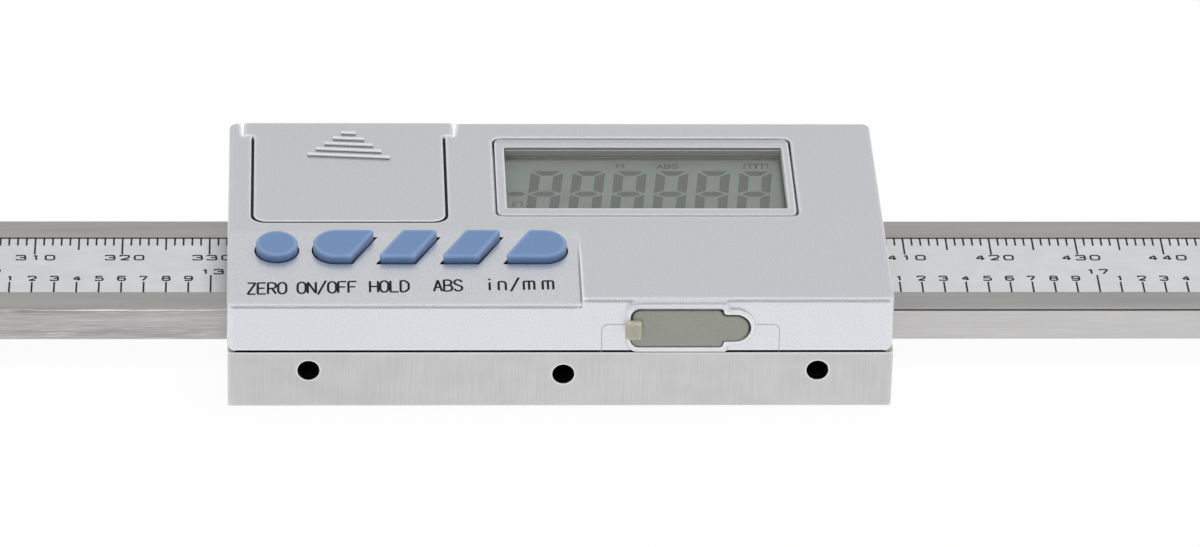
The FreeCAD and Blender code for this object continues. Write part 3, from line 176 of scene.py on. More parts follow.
def rounded(corners, radius, closed=False, steps=4):
    """A path whose corners are quadratic curves that leave each side a radius before the corner."""
    points = np.array(corners, float)
    sides = np.stack([np.roll(points, 1, axis=0), np.roll(points, -1, axis=0)]) - points
    lengths = np.linalg.norm(sides, axis=-1, keepdims=True)
    reach = np.minimum(radius, LONGEST_CURVE * lengths.min(axis=0))
    start, end = points + sides / lengths * reach
    share = np.linspace(0, 1, steps)[None, :, None]
    curves = ((1 - share) ** 2 * start[:, None] + 2 * share * (1 - share) * points[:, None]
              + share ** 2 * end[:, None])
    if closed:
        return curves.reshape(-1, 2)
    return np.vstack([points[:1], curves[1:-1].reshape(-1, 2), points[-1:]])


def joined(shapes):
    """Several shapes as one: their points in a row, and each one's faces counted from its own first point."""
    starts = np.cumsum([0] + [len(points) for points, quads in shapes[:-1]])
    return (np.vstack([points for points, quads in shapes]),
            np.vstack([quads + start for start, (points, quads) in zip(starts, shapes)]))


def tiled(shape, places):
    """Copies of a shape: its points plus each place, and its faces counted on from copy to copy."""
    points, quads = shape
    places = np.array(places, float)
    shifts = np.arange(len(places)) * len(points)
    return ((points[None] + places[:, None]).reshape(-1, 3),
            (quads[None] + shifts[:, None, None]).reshape(-1, 4))


def piece(name, shape, body, material):
    """A mesh in the scene that rides on a body."""
    points, quads = shape
    mesh = bpy.data.meshes.new(name)
    mesh.from_pydata((points * MM).tolist(), [], quads.tolist())
    mesh.materials.append(material)
    made = bpy.data.objects.new(name, mesh)
    bpy.context.scene.collection.objects.link(made)
    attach(made, body)


# Letters: strokes in a cell one wide and one high; a stroke that ends where it starts is a loop

GLYPHS = {
    "0": [[(0, 0), (1, 0), (1, 1), (0, 1), (0, 0)]],
    "1": [[(0.3, 0.78), (0.58, 1), (0.58, 0)]],
    "2": [[(0, 0.75), (0, 1), (1, 1), (1, 0.52), (0, 0), (1, 0)]],
    "3": [[(0, 0.8), (0, 1), (0.96, 1), (0.96, 0.52), (0.35, 0.52)],
          [(0.9, 0.52), (1, 0.5), (1, 0), (0, 0), (0, 0.2)]],
    "4": [[(0.74, 0), (0.74, 1), (0, 0.3), (1, 0.3)]],
    "5": [[(0.95, 1), (0.06, 1), (0.06, 0.58), (1, 0.58), (1, 0), (0, 0), (0, 0.2)]],
    "6": [[(0.95, 0.82), (0.95, 1), (0, 1), (0, 0), (1, 0), (1, 0.57), (0, 0.57)]],
    "7": [[(0, 0.8), (0, 1), (1, 1), (0.35, 0)]],
    "8": [[(0.05, 0.53), (0.95, 0.53), (0.95, 1), (0.05, 1), (0.05, 0.53)],
          [(0, 0), (1, 0), (1, 0.53), (0, 0.53), (0, 0)]],
    "9": [[(0.05, 0.18), (0.05, 0), (1, 0), (1, 1), (0, 1), (0, 0.43), (1, 0.43)]],
    "A": [[(0, 0), (0.5, 1), (1, 0)], [(0.2, 0.34), (0.8, 0.34)]],
    "B": [[(0.5, 0.52), (0, 0.52), (0, 1), (0.6, 1), (0.92, 0.9), (0.92, 0.63), (0.6, 0.52)],
          [(0, 0.52), (0.65, 0.52), (1, 0.4), (1, 0.12), (0.65, 0), (0, 0), (0, 0.52)]],
    "D": [[(0, 0), (0.55, 0), (1, 0.25), (1, 0.75), (0.55, 1), (0, 1), (0, 0)]],
    "E": [[(1, 1), (0, 1), (0, 0), (1, 0)], [(0, 0.52), (0.85, 0.52)]],
    "F": [[(1, 1), (0, 1), (0, 0)], [(0, 0.52), (0.85, 0.52)]],
    "H": [[(0, 0), (0, 1)], [(1, 0), (1, 1)], [(0, 0.52), (1, 0.52)]],
    "L": [[(0, 1), (0, 0), (1, 0)]],
    "N": [[(0, 0), (0, 1), (1, 0), (1, 1)]],
    "O": [[(0.3, 0), (0.7, 0), (1, 0.2), (1, 0.8), (0.7, 1), (0.3, 1), (0, 0.8), (0, 0.2), (0.3, 0)]],
    "R": [[(0, 0), (0, 1), (0.65, 1), (0.98, 0.88), (0.98, 0.6), (0.65, 0.48), (0, 0.48)],
          [(0.5, 0.48), (1, 0)]],
    "S": [[(0.97, 0.8), (0.7, 1), (0.25, 1), (0.03, 0.85), (0.03, 0.65), (0.97, 0.38), (0.97, 0.15),
           (0.7, 0), (0.25, 0), (0, 0.2)]],
    "Z": [[(0, 1), (1, 1), (0, 0), (1, 0)]],
    "i": [[(0.5, 0), (0.5, 0.72)], [(0.5, 0.92), (0.5, 1.05)]],
    "m": [[(0, 0), (0, 0.77), (0.9, 0.77), (1, 0.68), (1, 0)], [(0.5, 0.77), (0.5, 0)]],
    "n": [[(0, 0), (0, 0.77), (0.8, 0.77), (1, 0.62), (1, 0)]],
    "/": [[(0, -0.12), (1, 1.12)]],
}


def glyph(letter, width, height, stroke, rounding):
    """One letter as flat strokes on its cell, centred in X and standing on its baseline."""
    strokes = []
    for corners in GLYPHS[letter]:
        closed = corners[0] == corners[-1]
        path = (np.array(corners[:-1] if closed else corners) - (0.5, 0)) * (width, height)
        strokes.append(ribbon(rounded(path, rounding, closed), stroke, 0, PRINT_THICKNESS, closed))
    return joined(strokes)


def numbers(values, pitch, width, height, baseline, level):
    """Many numbers, each centred on its own X: every digit is drawn once and copied to all its places."""
    places = {}
    for text, middle in values:
        for place, digit in enumerate(text):
            x = middle + (place - (len(text) - 1) / 2) * pitch
            places.setdefault(digit, []).append((x, baseline, level))
    return joined([tiled(glyph(digit, width, height, NUMERAL_STROKE, NUMERAL_ROUNDING), spots)
                   for digit, spots in sorted(places.items())])


def line_of_text(text, left, right, letter, height, stroke, rounding):
    """Letters spread evenly from a left to a right end, on the baseline Y = 0."""
    first, last = left + (letter + stroke) / 2, right - (letter + stroke) / 2
    spots = np.linspace(first, last, len(text)) if len(text) > 1 else [(first + last) / 2]
    return joined([tiled(glyph(mark, letter, height, stroke, rounding), [(x, 0, 0)])
                   for mark, x in zip(text, spots)])


# Material helpers

# Noise lies mostly between these two values
NOISE_LOW, NOISE_HIGH = 0.3, 0.7
NOISE_RANGE = {"From Min": NOISE_LOW, "From Max": NOISE_HIGH}
# Rays for the search of edges and gaps, and for rounded normals
SEARCH_RAYS = 8
BEVEL_RAYS = 4
# Share of rays that stay inside the solid on a flat, and along an outward edge
FLAT_SHARE, EDGE_SHARE = 0.94, 0.62


def linear(colour):
    """An sRGB hex colour as linear red, green, blue and alpha."""
    values = np.array([int(colour[place:place + 2], 16) for place in (1, 3, 5)]) / 255
    curve = np.where(values <= 0.04045, values / 12.92, ((values + 0.055) / 1.055) ** 2.4)
    return (*curve.tolist(), 1.0)


def add(tree, kind, inputs=None, ramp=(), stops=(NOISE_LOW, NOISE_HIGH), **settings):
    """Add a node with its settings and its ramp of colours at two stops, and give each named input its value.

    A value is a constant, a hex colour, a socket to link, or a node that is linked by its first open output.
    """
    node = tree.nodes.new("ShaderNode" + kind)
    for name, value in settings.items():
        setattr(node, name, value)
    for stop, (place, colour) in enumerate(zip(stops, ramp)):
        node.color_ramp.elements[stop].position = place
        node.color_ramp.elements[stop].color = linear(colour)
    for name, value in (inputs or {}).items():
        if isinstance(value, bpy.types.Node):
            value = next(output for output in value.outputs if output.enabled)
        if isinstance(value, bpy.types.NodeSocket):
            tree.links.new(value, node.inputs[name])
        else:
            node.inputs[name].default_value = linear(value) if isinstance(value, str) else value
    return node


def blank(name):
    """A new material and its empty node tree."""
    material = bpy.data.materials.new(name)
    material.use_nodes = True
    material.node_tree.nodes.clear()
    return material, material.node_tree


def dressed(material, **sockets):
    """A material with its shader, whose sockets get what add gives an input."""
    tree = material.node_tree
    named = {socket.replace("_", " "): value for socket, value in sockets.items()}
    add(tree, "OutputMaterial", {"Surface": add(tree, "BsdfPrincipled", named)})
    return material


def grain(tree, sizes, detail=2.0, roughness=0.5):
    """Noise whose grains are about sizes millimetres long in X, Y and Z."""
    place = add(tree, "TexCoord").outputs["Object"]
    mapped = add(tree, "Mapping", {"Vector": place, "Scale": [1 / (size * MM) for size in sizes]})
    return add(tree, "TexNoise", {"Vector": mapped, "Scale": 1.0, "Detail": detail, "Roughness": roughness})


def relief(tree, share, depth, edge):
    """A normal from a pattern of a given depth, on edges that look rounded by a given radius.

    The radius is in millimetres, or a node that gives it in metres.
    """
    radius = edge * MM if isinstance(edge, float) else edge
    soft = add(tree, "Bevel", {"Radius": radius}, samples=BEVEL_RAYS)
    return add(tree, "Bump", {"Height": share, "Distance": depth * MM, "Strength": 1.0, "Normal": soft})


def inside_box(tree, place, low, high):
    """One inside a box in millimetres and zero outside it: each axis is within half a side of the middle."""
    low, high = np.array(low, float), np.array(high, float)
    middle, half = (low + high) / 2 * MM, (high - low) / 2 * MM
    apart = add(tree, "VectorMath", {0: place, 1: middle.tolist()}, operation="SUBTRACT")
    axes = add(tree, "SeparateXYZ", {"Vector": add(tree, "VectorMath", {0: apart}, operation="ABSOLUTE")})
    within = [add(tree, "Math", {0: axes.outputs[axis], 1: float(reach)}, operation="LESS_THAN")
              for axis, reach in zip("XYZ", half)]
    across = add(tree, "Math", {0: within[0], 1: within[1]}, operation="MULTIPLY")
    return add(tree, "Math", {0: across, 1: within[2]}, operation="MULTIPLY")


def outer_edges(tree, reach):
    """One along outward edges and zero on flats: the share of rays sent inwards that soon come out again."""
    inward = add(tree, "AmbientOcclusion", {"Distance": reach * MM}, samples=SEARCH_RAYS, inside=True,
                 only_local=True)
    return add(tree, "MapRange", {"Value": inward.outputs["AO"], "From Min": FLAT_SHARE,
                                  "From Max": EDGE_SHARE})


def deep_gaps(tree, colour, dark, reach=0.45, closed=0.12, wide=0.38):
    """A colour with painted shade that turns it dark where walls stand closer than a reach, as in a seam.

    It is all dark where the share of free rays is at most closed, and all plain where it is at least wide.
    """
    hidden = add(tree, "AmbientOcclusion", {"Distance": reach * MM}, samples=SEARCH_RAYS)
    free = add(tree, "MapRange", {"Value": hidden.outputs["AO"], "From Min": closed, "From Max": wide})
    return add(tree, "Mix", {"Factor": free, "A": dark, "B": colour}, data_type="RGBA")


# Materials: the silver paint of the head

# Aluminium flake is about 0.03 mm, and is drawn coarser so that it shows
FLAKE = (0.16, 0.16, 0.16)
RIPPLE = (0.4, 0.4, 0.4)
FINE_RIPPLE = (0.6, 0.6, 0.6)
PAINT_RAMP = ("#dadce1", "#f0f2f7")
PAINT_ROUGHNESS = {**NOISE_RANGE, "To Min": 0.3, "To Max": 0.4}
# Colours of painted shade in gaps, and of painted black shade in seams and holes
GAP_SHADE = "#38393e"
SHADE_BLACK = "#0d0d0e"
# Boxes reach this far past the head, and this far above it
FAR = 60
ABOVE = 1
# Rear of the bezel's pocket, kept free of painted highlight, and of the bezel's frame, which takes a painted
# bluish reflection
POCKET_LOW, POCKET_HIGH = (-9, 15.9, 13), (30, 17.5)
FRAME_REAR_LOW, FRAME_REAR_HIGH = (-9, 15.5, 13), (30, 18, 15)
# Upper edge of the front wall in Y, its lowest Z, and what the keypad's step takes out of it in X
RIM_FRONT, RIM_REAR, RIM_FOOT = -21, -19.2, 13.1
STEP_BEFORE, STEP_AFTER = 0.7, 0.6
# Round the keys, kept free of painted highlight, and down the holes, given painted black shade: from the
# head's left side, round the row and at its right end, and in the holes
KEYS_INSET = 1.2
KEYS_RIM, KEYS_RIGHT_RIM = 0.4, 1
HOLES_GAP, HOLES_RIGHT_GAP = 0.1, 0.7
HOLES_DEPTH, HOLES_EDGE = 4, 0.01
# Painted shade at the foot of the keypad's step: its thickness, its front end, its height, and where it fades
# out in Y
STEP_INNER, STEP_OUTER, STEP_FRONT = 0.2, 0.03, 1.1
STEP_BELOW, STEP_ABOVE = 0.4, 0.1
STEP_FADE_START, STEP_FADE_END = -8, -12
# Painted shade at the foot of the lid's ridges, above the top
RIDGE_LOW, RIDGE_HIGH = 0.005, 0.15
# Painted black shade along the lower edge of the head, without its ends
LOWER_LEFT, LOWER_RIGHT, LOWER_SIDE = -36.4, 36.2, 30
LOWER_BELOW, LOWER_ABOVE = 0.1, 0.3
# Painted black shade in the groove round the lid: its width, how far it stops before the rear, its depth and
# its upper edge
GROOVE_WIDTH, GROOVE_REAR, GROOVE_DEPTH, GROOVE_EDGE = 0.4, 3.6, 4, 0.06
# How far the bezel's inner wall, grey with painted shade, lies inside the pane's outline
WALL_INSET = np.array([0.78, 0.78, -1.14])


def silver_paint():
    """Silver paint on black ABS: fine aluminium flake that glints under a clear coat, with painted shade in
    its gaps and seams.

    Outward edges carry a painted highlight, but not round the keys and in the bezel's pocket. Painted shade
    darkens the foot of the lid's ridges and of the keypad's step. Painted black shade fills the key holes,
    the groove under the battery lid and the lower edge.
    """
    material, tree = blank("silver_paint_on_abs")
    flake = grain(tree, FLAKE)
    place = add(tree, "TexCoord").outputs["Object"]
    axes = add(tree, "SeparateXYZ", {"Vector": place})
    low, high = span("housing")
    lid_low, lid_high = span("battery_cover")
    top = high[2]
    pocket = inside_box(tree, place, POCKET_LOW, (*POCKET_HIGH, top + ABOVE))
    rims = [inside_box(tree, place, (left, RIM_FRONT, RIM_FOOT), (right, RIM_REAR, top + ABOVE))
            for left, right in ((-FAR, KEYPAD_END - STEP_BEFORE), (KEYPAD_END + STEP_AFTER, FAR))]
    front_rim = add(tree, "Math", {0: rims[0], 1: rims[1]}, operation="MAXIMUM")

    # On the keypad, Z is taken from the sloped field
    slope = add(tree, "Math", {0: axes.outputs["Y"], 1: KEYPAD_FALL}, operation="MULTIPLY")
    raised = add(tree, "Math", {0: axes.outputs["Z"], 1: slope}, operation="SUBTRACT")
    leaned = add(tree, "CombineXYZ", {"X": axes.outputs["X"], "Y": axes.outputs["Y"], "Z": raised})
    field = top - KEYPAD_START * KEYPAD_FALL
    keys_front, keys_rear = span("key_hold")[0][1], span("key_hold")[1][1]
    keys_left, keys_right = low[0] + KEYS_INSET, span("key_unit")[1][0]
    around = inside_box(tree, leaned, (keys_left, keys_front - KEYS_RIM, field - HOLES_DEPTH),
                        (keys_right + KEYS_RIGHT_RIM, keys_rear + KEYS_RIM, field + KEYS_RIM))
    # Painted black shade down the key holes
    holes = inside_box(tree, leaned, (keys_left, keys_front - HOLES_GAP, field - HOLES_DEPTH),
                       (keys_right + HOLES_RIGHT_GAP, keys_rear + HOLES_GAP, field - HOLES_EDGE))
    # Painted shade along the foot of the keypad's step, stronger towards the front
    step = inside_box(tree, leaned, (KEYPAD_END - STEP_INNER, low[1] + STEP_FRONT, field - STEP_BELOW),
                      (KEYPAD_END + STEP_OUTER, STEP_FADE_START, field + STEP_ABOVE))
    deeper = add(tree, "MapRange", {"Value": axes.outputs["Y"], "From Min": STEP_FADE_START * MM,
                                    "From Max": STEP_FADE_END * MM})
    step = add(tree, "Math", {0: step, 1: deeper}, operation="MULTIPLY")

    # Painted highlight on outward edges, painted shade at the feet of ridges and step, and painted black
    # shade
    sharp = add(tree, "Math", {0: pocket, 1: around}, operation="MAXIMUM")
    plain = add(tree, "Math", {0: front_rim, 1: sharp}, operation="MAXIMUM")
    # Painted highlight: outward edges go pale and less metallic, except round the keys, in the pocket and on
    # the front rim
    painted_edge_highlight = add(tree, "Math", {0: outer_edges(tree, 0.45), 1: plain}, operation="SUBTRACT", use_clamp=True)
    # Painted shade at the foot of the lid's ridges
    foot = inside_box(tree, place, (*lid_low[:2], top + RIDGE_LOW), (*lid_high[:2], top + RIDGE_HIGH))
    # Painted black shade along the lower edge and in the groove under the lid
    lower = inside_box(tree, place, (LOWER_LEFT, -LOWER_SIDE, low[2] - LOWER_BELOW),
                       (LOWER_RIGHT, LOWER_SIDE, low[2] + LOWER_ABOVE))
    groove = inside_box(tree, place,
                        (lid_low[0] - GROOVE_WIDTH, lid_low[1] - GROOVE_WIDTH, top - GROOVE_DEPTH),
                        (lid_high[0] + GROOVE_WIDTH, lid_high[1] - GROOVE_REAR, top - GROOVE_EDGE))
    painted_black_shade = add(tree, "Math", {0: lower, 1: groove}, operation="MAXIMUM")
    painted_black_shade = add(tree, "Math", {0: painted_black_shade, 1: holes}, operation="MAXIMUM")
    colour = deep_gaps(tree, add(tree, "ValToRGB", {"Fac": flake}, ramp=PAINT_RAMP), GAP_SHADE)
    for share, tint in ((painted_edge_highlight, "#fafbfd"), (foot, "#84827e"), (step, "#b6b7bc"), (painted_black_shade, SHADE_BLACK)):
        colour = add(tree, "Mix", {"Factor": share, "A": colour, "B": tint}, data_type="RGBA")
    dull = add(tree, "Math", {0: painted_edge_highlight, 1: foot}, operation="MAXIMUM")
    metal = add(tree, "MapRange", {"Value": dull, "To Min": 0.8, "To Max": 0.15})
    metal = add(tree, "Math", {0: metal, 1: painted_black_shade}, operation="SUBTRACT", use_clamp=True)
    edge = add(tree, "MapRange", {"Value": sharp, "To Min": 0.14 * MM, "To Max": 0.0})
    edge = add(tree, "Math", {0: front_rim, 1: 0.42 * MM, 2: edge}, operation="MULTIPLY_ADD")
    return dressed(material, Base_Color=colour, Metallic=metal, Coat_Weight=0.3, Coat_Roughness=0.12,
                   Roughness=add(tree, "MapRange", {"Value": flake, **PAINT_ROUGHNESS}),
                   Normal=relief(tree, grain(tree, RIPPLE), 0.004, edge))


def bezel_paint():
    """The same silver paint, with a painted bluish reflection where the frame falls away at the rear and
    painted grey shade on an inner wall.
    """
    material, tree = blank("silver_paint_with_painted_wall_shade")
    flake = grain(tree, FLAKE)
    place = add(tree, "TexCoord").outputs["Object"]
    # Painted bluish reflection on the frame's rear
    rear = inside_box(tree, place, FRAME_REAR_LOW, FRAME_REAR_HIGH)
    # Painted highlight on outward edges, except at the frame's rear
    painted_edge_highlight = add(tree, "Math", {0: outer_edges(tree, 0.3), 1: rear}, operation="SUBTRACT", use_clamp=True)
    low, high = span("display_window")
    # Painted grey shade on the inner wall under the pane
    painted_wall_shade = inside_box(tree, place, low + WALL_INSET, high - WALL_INSET)
    colour = deep_gaps(tree, add(tree, "ValToRGB", {"Fac": flake}, ramp=PAINT_RAMP), GAP_SHADE)
    for share, tint in ((rear, "#d6dce6"), (painted_edge_highlight, "#f3f4f5"), (painted_wall_shade, "#a6a6a4")):
        colour = add(tree, "Mix", {"Factor": share, "A": colour, "B": tint}, data_type="RGBA")
    dull = add(tree, "Math", {0: painted_edge_highlight, 1: painted_wall_shade}, operation="MAXIMUM")
    metal = add(tree, "MapRange", {"Value": dull, "To Min": 0.8, "To Max": 0.2})
    return dressed(material, Base_Color=colour, Metallic=metal, Coat_Weight=0.3, Coat_Roughness=0.12,
                   Roughness=add(tree, "MapRange", {"Value": flake, **PAINT_ROUGHNESS}),
                   Normal=relief(tree, grain(tree, FINE_RIPPLE), 0.002, 0.08))


# Materials: the steel of the beam and the carriage

# Grinding marks and scratches are finer than this, and are drawn coarser so that they show
BEAM_STREAK = (7.0, 0.1, 0.1)
BEAM_SCRATCH = (6.0, 0.13, 0.13)
BEAM_PATCH = (30.0, 1.5, 1.5)
BRUSH_STREAK = (0.18, 0.18, 7.0)
BRUSH_CLOUD = (5.0, 5.0, 3.0)
# Painted light makes the beam's side lighter and more even from minus to plus this X
PAINTED_LIGHT_SPAN = 60
# Widths of the painted white highlight on the left and the painted dark reflection on the right of the beam's
# upper front edge
GLINT_WIDTH, DARK_EDGE_WIDTH, PROUD = 0.17, 0.16, 0.1
# Place of the head's foot on the block, which gets painted black shade, and of the painted shade on the walls
# of its holes
COVERED_LEFT, COVERED_RIGHT, COVERED_REAR, SKIN = -36.5, 36.4, 30, 0.05
HOLE_SHADE_START, HOLE_SHADE_REACH = 0.2, 1.1


def beam_steel():
    """Stainless bar: a dull ground top, and sides with long bright scratches, made lighter and more even
    towards the right by painted light.

    Its upper front edge has a broken painted white highlight on the left and a painted dark reflection on the
    right, and its sawn ends are plain.
    """
    material, tree = blank("ground_stainless_bar")
    streak = grain(tree, BEAM_STREAK, 3.0, 0.6)
    patch = grain(tree, BEAM_PATCH)
    place = add(tree, "TexCoord").outputs["Object"]
    faces = add(tree, "SeparateXYZ", {"Vector": add(tree, "NewGeometry").outputs["True Normal"]})
    mixed = add(tree, "Mix", {"Factor": 0.35, "A": streak, "B": patch}, data_type="FLOAT")
    colour = add(tree, "ValToRGB", {"Fac": mixed}, ramp=("#949395", "#cdcbc9"), stops=(0.36, 0.64))
    shiny = add(tree, "MapRange", {"Value": grain(tree, BEAM_SCRATCH), "From Min": 0.58, "From Max": 0.68})
    along = add(tree, "SeparateXYZ", {"Vector": place}).outputs["X"]
    # Painted light: lighter and more even towards the right
    painted_light_to_right = add(tree, "MapRange", {"Value": along, "From Min": -PAINTED_LIGHT_SPAN * MM, "From Max": PAINTED_LIGHT_SPAN * MM,
                                    "To Max": 0.75})
    top = add(tree, "ValToRGB", {"Fac": patch}, ramp=("#bdbcba", "#cac9c7"))
    upward = add(tree, "MapRange", {"Value": faces.outputs["Z"], "From Min": 0.5, "From Max": 0.9})
    low, high = span("beam")
    # Painted broken white highlight on the left of the upper front edge, and a painted dark reflection on the
    # right
    left_edge = inside_box(tree, place, (low[0], low[1] - PROUD, high[2] - GLINT_WIDTH),
                           (0, low[1] + GLINT_WIDTH, high[2] + PROUD))
    painted_dark_edge = inside_box(tree, place, (0, low[1] - PROUD, high[2] - DARK_EDGE_WIDTH),
                            (high[0], low[1] + DARK_EDGE_WIDTH, high[2] + PROUD))
    broken = add(tree, "MapRange", {"Value": streak, "From Min": 0.46, "From Max": 0.58})
    painted_edge_glint = add(tree, "Math", {0: left_edge, 1: broken}, operation="MULTIPLY")
    endwise = add(tree, "Math", {0: faces.outputs["X"]}, operation="ABSOLUTE")
    sawn = add(tree, "Math", {0: endwise, 1: 0.7}, operation="GREATER_THAN")
    for share, tint in ((shiny, "#dad7d3"), (painted_light_to_right, "#d2d1d1"), (upward, top), (painted_edge_glint, "#fbfbfa"),
                        (painted_dark_edge, "#2a2928"), (sawn, "#bcbbb9")):
        colour = add(tree, "Mix", {"Factor": share, "A": colour, "B": tint}, data_type="RGBA")
    rough = add(tree, "MapRange", {"Value": streak, **NOISE_RANGE, "To Min": 0.28, "To Max": 0.45})
    metal = add(tree, "MapRange", {"Value": painted_edge_glint, "To Min": 1.0, "To Max": 0.1})
    return dressed(material, Base_Color=colour, Metallic=metal, Roughness=rough,
                   Normal=relief(tree, streak, 0.003, 0.05))


def carriage_steel():
    """Stainless block, brushed upwards on its front, with a painted highlight on its edges.

    Painted shade darkens the walls of its tapped holes, and painted black shade lies on its top at the foot
    of the head.
    """
    material, tree = blank("brushed_stainless_block")
    streak = grain(tree, BRUSH_STREAK, 4.0, 0.6)
    cloud = grain(tree, BRUSH_CLOUD, 3.0)
    place = add(tree, "TexCoord").outputs["Object"]
    depth = add(tree, "SeparateXYZ", {"Vector": place}).outputs["Y"]
    mixed = add(tree, "Mix", {"Factor": 0.35, "A": streak, "B": cloud}, data_type="FLOAT")
    colour = add(tree, "ValToRGB", {"Fac": mixed}, ramp=("#c5c4c4", "#d7d6d6"), stops=(0.35, 0.65))
    past_face = add(tree, "Math", {0: depth, 1: (FRONT + HOLE_SHADE_START) * MM}, operation="GREATER_THAN")
    before_end = add(tree, "Math", {0: depth, 1: (FRONT + HOLE_DEPTH) * MM}, operation="LESS_THAN")
    in_hole = add(tree, "Math", {0: past_face, 1: before_end}, operation="MULTIPLY")
    # Painted highlight on the edges; painted shade on the walls of the holes below
    layers = [(outer_edges(tree, 0.3), "#f3f2f1")]
    for x, z in HOLES:
        axis = add(tree, "CombineXYZ", {"X": x * MM, "Y": depth, "Z": z * MM})
        away = add(tree, "VectorMath", {0: place, 1: axis}, operation="DISTANCE")
        near_axis = add(tree, "Math", {0: away, 1: HOLE_RADIUS * HOLE_SHADE_REACH * MM}, operation="LESS_THAN")
        layers.append((add(tree, "Math", {0: near_axis, 1: in_hole}, operation="MULTIPLY"), "#17171a"))
    top = span("carriage_base")[1][2]
    # Painted black shade on the top at the foot of the head
    painted_seam_shade = inside_box(tree, place, (COVERED_LEFT, FRONT + SKIN, top - SKIN),
                         (COVERED_RIGHT, COVERED_REAR, top + SKIN))
    for share, tint in (*layers, (painted_seam_shade, SHADE_BLACK)):
        colour = add(tree, "Mix", {"Factor": share, "A": colour, "B": tint}, data_type="RGBA")
    rough = add(tree, "MapRange", {"Value": streak, **NOISE_RANGE, "To Min": 0.28, "To Max": 0.42})
    return dressed(material, Base_Color=deep_gaps(tree, colour, "#121213"), Metallic=1.0, Roughness=rough,
                   Normal=relief(tree, streak, 0.002, 0.14))


# Materials: print, rubber and the display

# Eroded grain and the ink's cover are about 0.05 mm, and are drawn coarser so that they show
KEY_GRAIN = (0.14, 0.14, 0.14)
PLUG_GRAIN = (0.2, 0.2, 0.2)
INK_GRAIN = (0.12, 0.12, 0.12)
FILM_CLOUD = (3.0, 1.5, 1.5)
PANE_HAZE = (2.0, 2.0, 2.0)
CELL_CLOUD = (2.5, 2.5, 2.5)
# Heights between which the plug's edges go over to dark, and where its tab starts from the head's front
PLUG_SHADE_LOW, PLUG_SHADE_HIGH = 9.2, 10.5
TAB_START = 0.02
# Painted light along the cell's rear edge: how far it starts before the pane's rear edge, and how soft it is
LIGHT_BAND_INSET, LIGHT_BAND_BEFORE, LIGHT_BAND_AFTER = 0.8, 0.1, 0.15


def label_film():
    """Satin polyester film: pale grey with the faintest cloudiness."""
    material, tree = blank("satin_polyester_film")
    cloud = grain(tree, FILM_CLOUD, 3.0)
    colour = add(tree, "ValToRGB", {"Fac": cloud}, ramp=("#d5d6d8", "#dcdddf"))
    rough = add(tree, "MapRange", {"Value": cloud, **NOISE_RANGE, "To Min": 0.38, "To Max": 0.46})
    return dressed(material, Base_Color=colour, Metallic=0.15, Roughness=rough)


def ink(name, dark, light):
    """Screen-printed ink: nearly black, a little uneven where the film of ink is thin."""
    material, tree = blank(name)
    cover = grain(tree, INK_GRAIN)
    colour = add(tree, "ValToRGB", {"Fac": cover}, ramp=(dark, light))
    return dressed(material, Base_Color=colour, Roughness=0.5, Specular_IOR_Level=0.2)


def silicone(name, dark, light, pale):
    """Moulded silicone rubber: matt and soft to the eye, with a fine eroded grain.

    A painted highlight makes it paler on its edges, and painted shade takes it over to deep blue and then to
    black towards its foot.
    """
    material, tree = blank(name)
    fine = grain(tree, KEY_GRAIN)
    colour = add(tree, "ValToRGB", {"Fac": fine}, ramp=(dark, light))
    # Painted highlight on the edges, then painted shade to deep blue and black towards the foot
    colour = add(tree, "Mix", {"Factor": outer_edges(tree, 0.55), "A": colour, "B": pale}, data_type="RGBA")
    colour = deep_gaps(tree, colour, "#3a5484", reach=1.0, closed=0.45, wide=0.85)
    colour = deep_gaps(tree, colour, "#10151f", reach=0.7)
    rough = add(tree, "MapRange", {"Value": fine, **NOISE_RANGE, "To Min": 0.48, "To Max": 0.6})
    return dressed(material, Base_Color=colour, Coat_Weight=0.25, Coat_Roughness=0.28, Sheen_Weight=0.15,
                   Sheen_Roughness=0.4, Roughness=rough, Normal=relief(tree, fine, 0.004, 0.14))


def plug_rubber():
    """Grey rubber plug, dark along its upper edges with painted shade, whose pull tab is paler and yellower,
    with a painted highlight on its edges.
    """
    material, tree = blank("grey_rubber_with_pale_tab")
    fine = grain(tree, PLUG_GRAIN)
    edge = outer_edges(tree, 0.4)
    axes = add(tree, "SeparateXYZ", {"Vector": add(tree, "TexCoord").outputs["Object"]})
    grey = add(tree, "ValToRGB", {"Fac": fine}, ramp=("#9c9e94", "#a8aaa0"))
    # Painted shade: black in the gap round the plug and along its upper edges
    grey = deep_gaps(tree, grey, "#0f0f0f", reach=0.5)
    upper = add(tree, "MapRange", {"Value": axes.outputs["Z"], "From Min": PLUG_SHADE_LOW * MM,
                                   "From Max": PLUG_SHADE_HIGH * MM})
    shaded = add(tree, "Math", {0: edge, 1: upper}, operation="MULTIPLY")
    grey = add(tree, "Mix", {"Factor": shaded, "A": grey, "B": "#0c0c0c"}, data_type="RGBA")
    pale = add(tree, "ValToRGB", {"Fac": fine}, ramp=("#b0ad9e", "#bcb9aa"))
    # Painted highlight on the tab's edges
    pale = add(tree, "Mix", {"Factor": edge, "A": pale, "B": "#d9d5c6"}, data_type="RGBA")
    tab_end = (span("housing")[0][1] + TAB_START) * MM
    proud = add(tree, "Math", {0: axes.outputs["Y"], 1: tab_end}, operation="LESS_THAN")
    colour = add(tree, "Mix", {"Factor": proud, "A": grey, "B": pale}, data_type="RGBA")
    rough = add(tree, "MapRange", {"Value": fine, **NOISE_RANGE, "To Min": 0.55, "To Max": 0.7})
    return dressed(material, Base_Color=colour, Sheen_Weight=0.1, Sheen_Roughness=0.5, Roughness=rough,
                   Normal=relief(tree, fine, 0.006, 0.2))


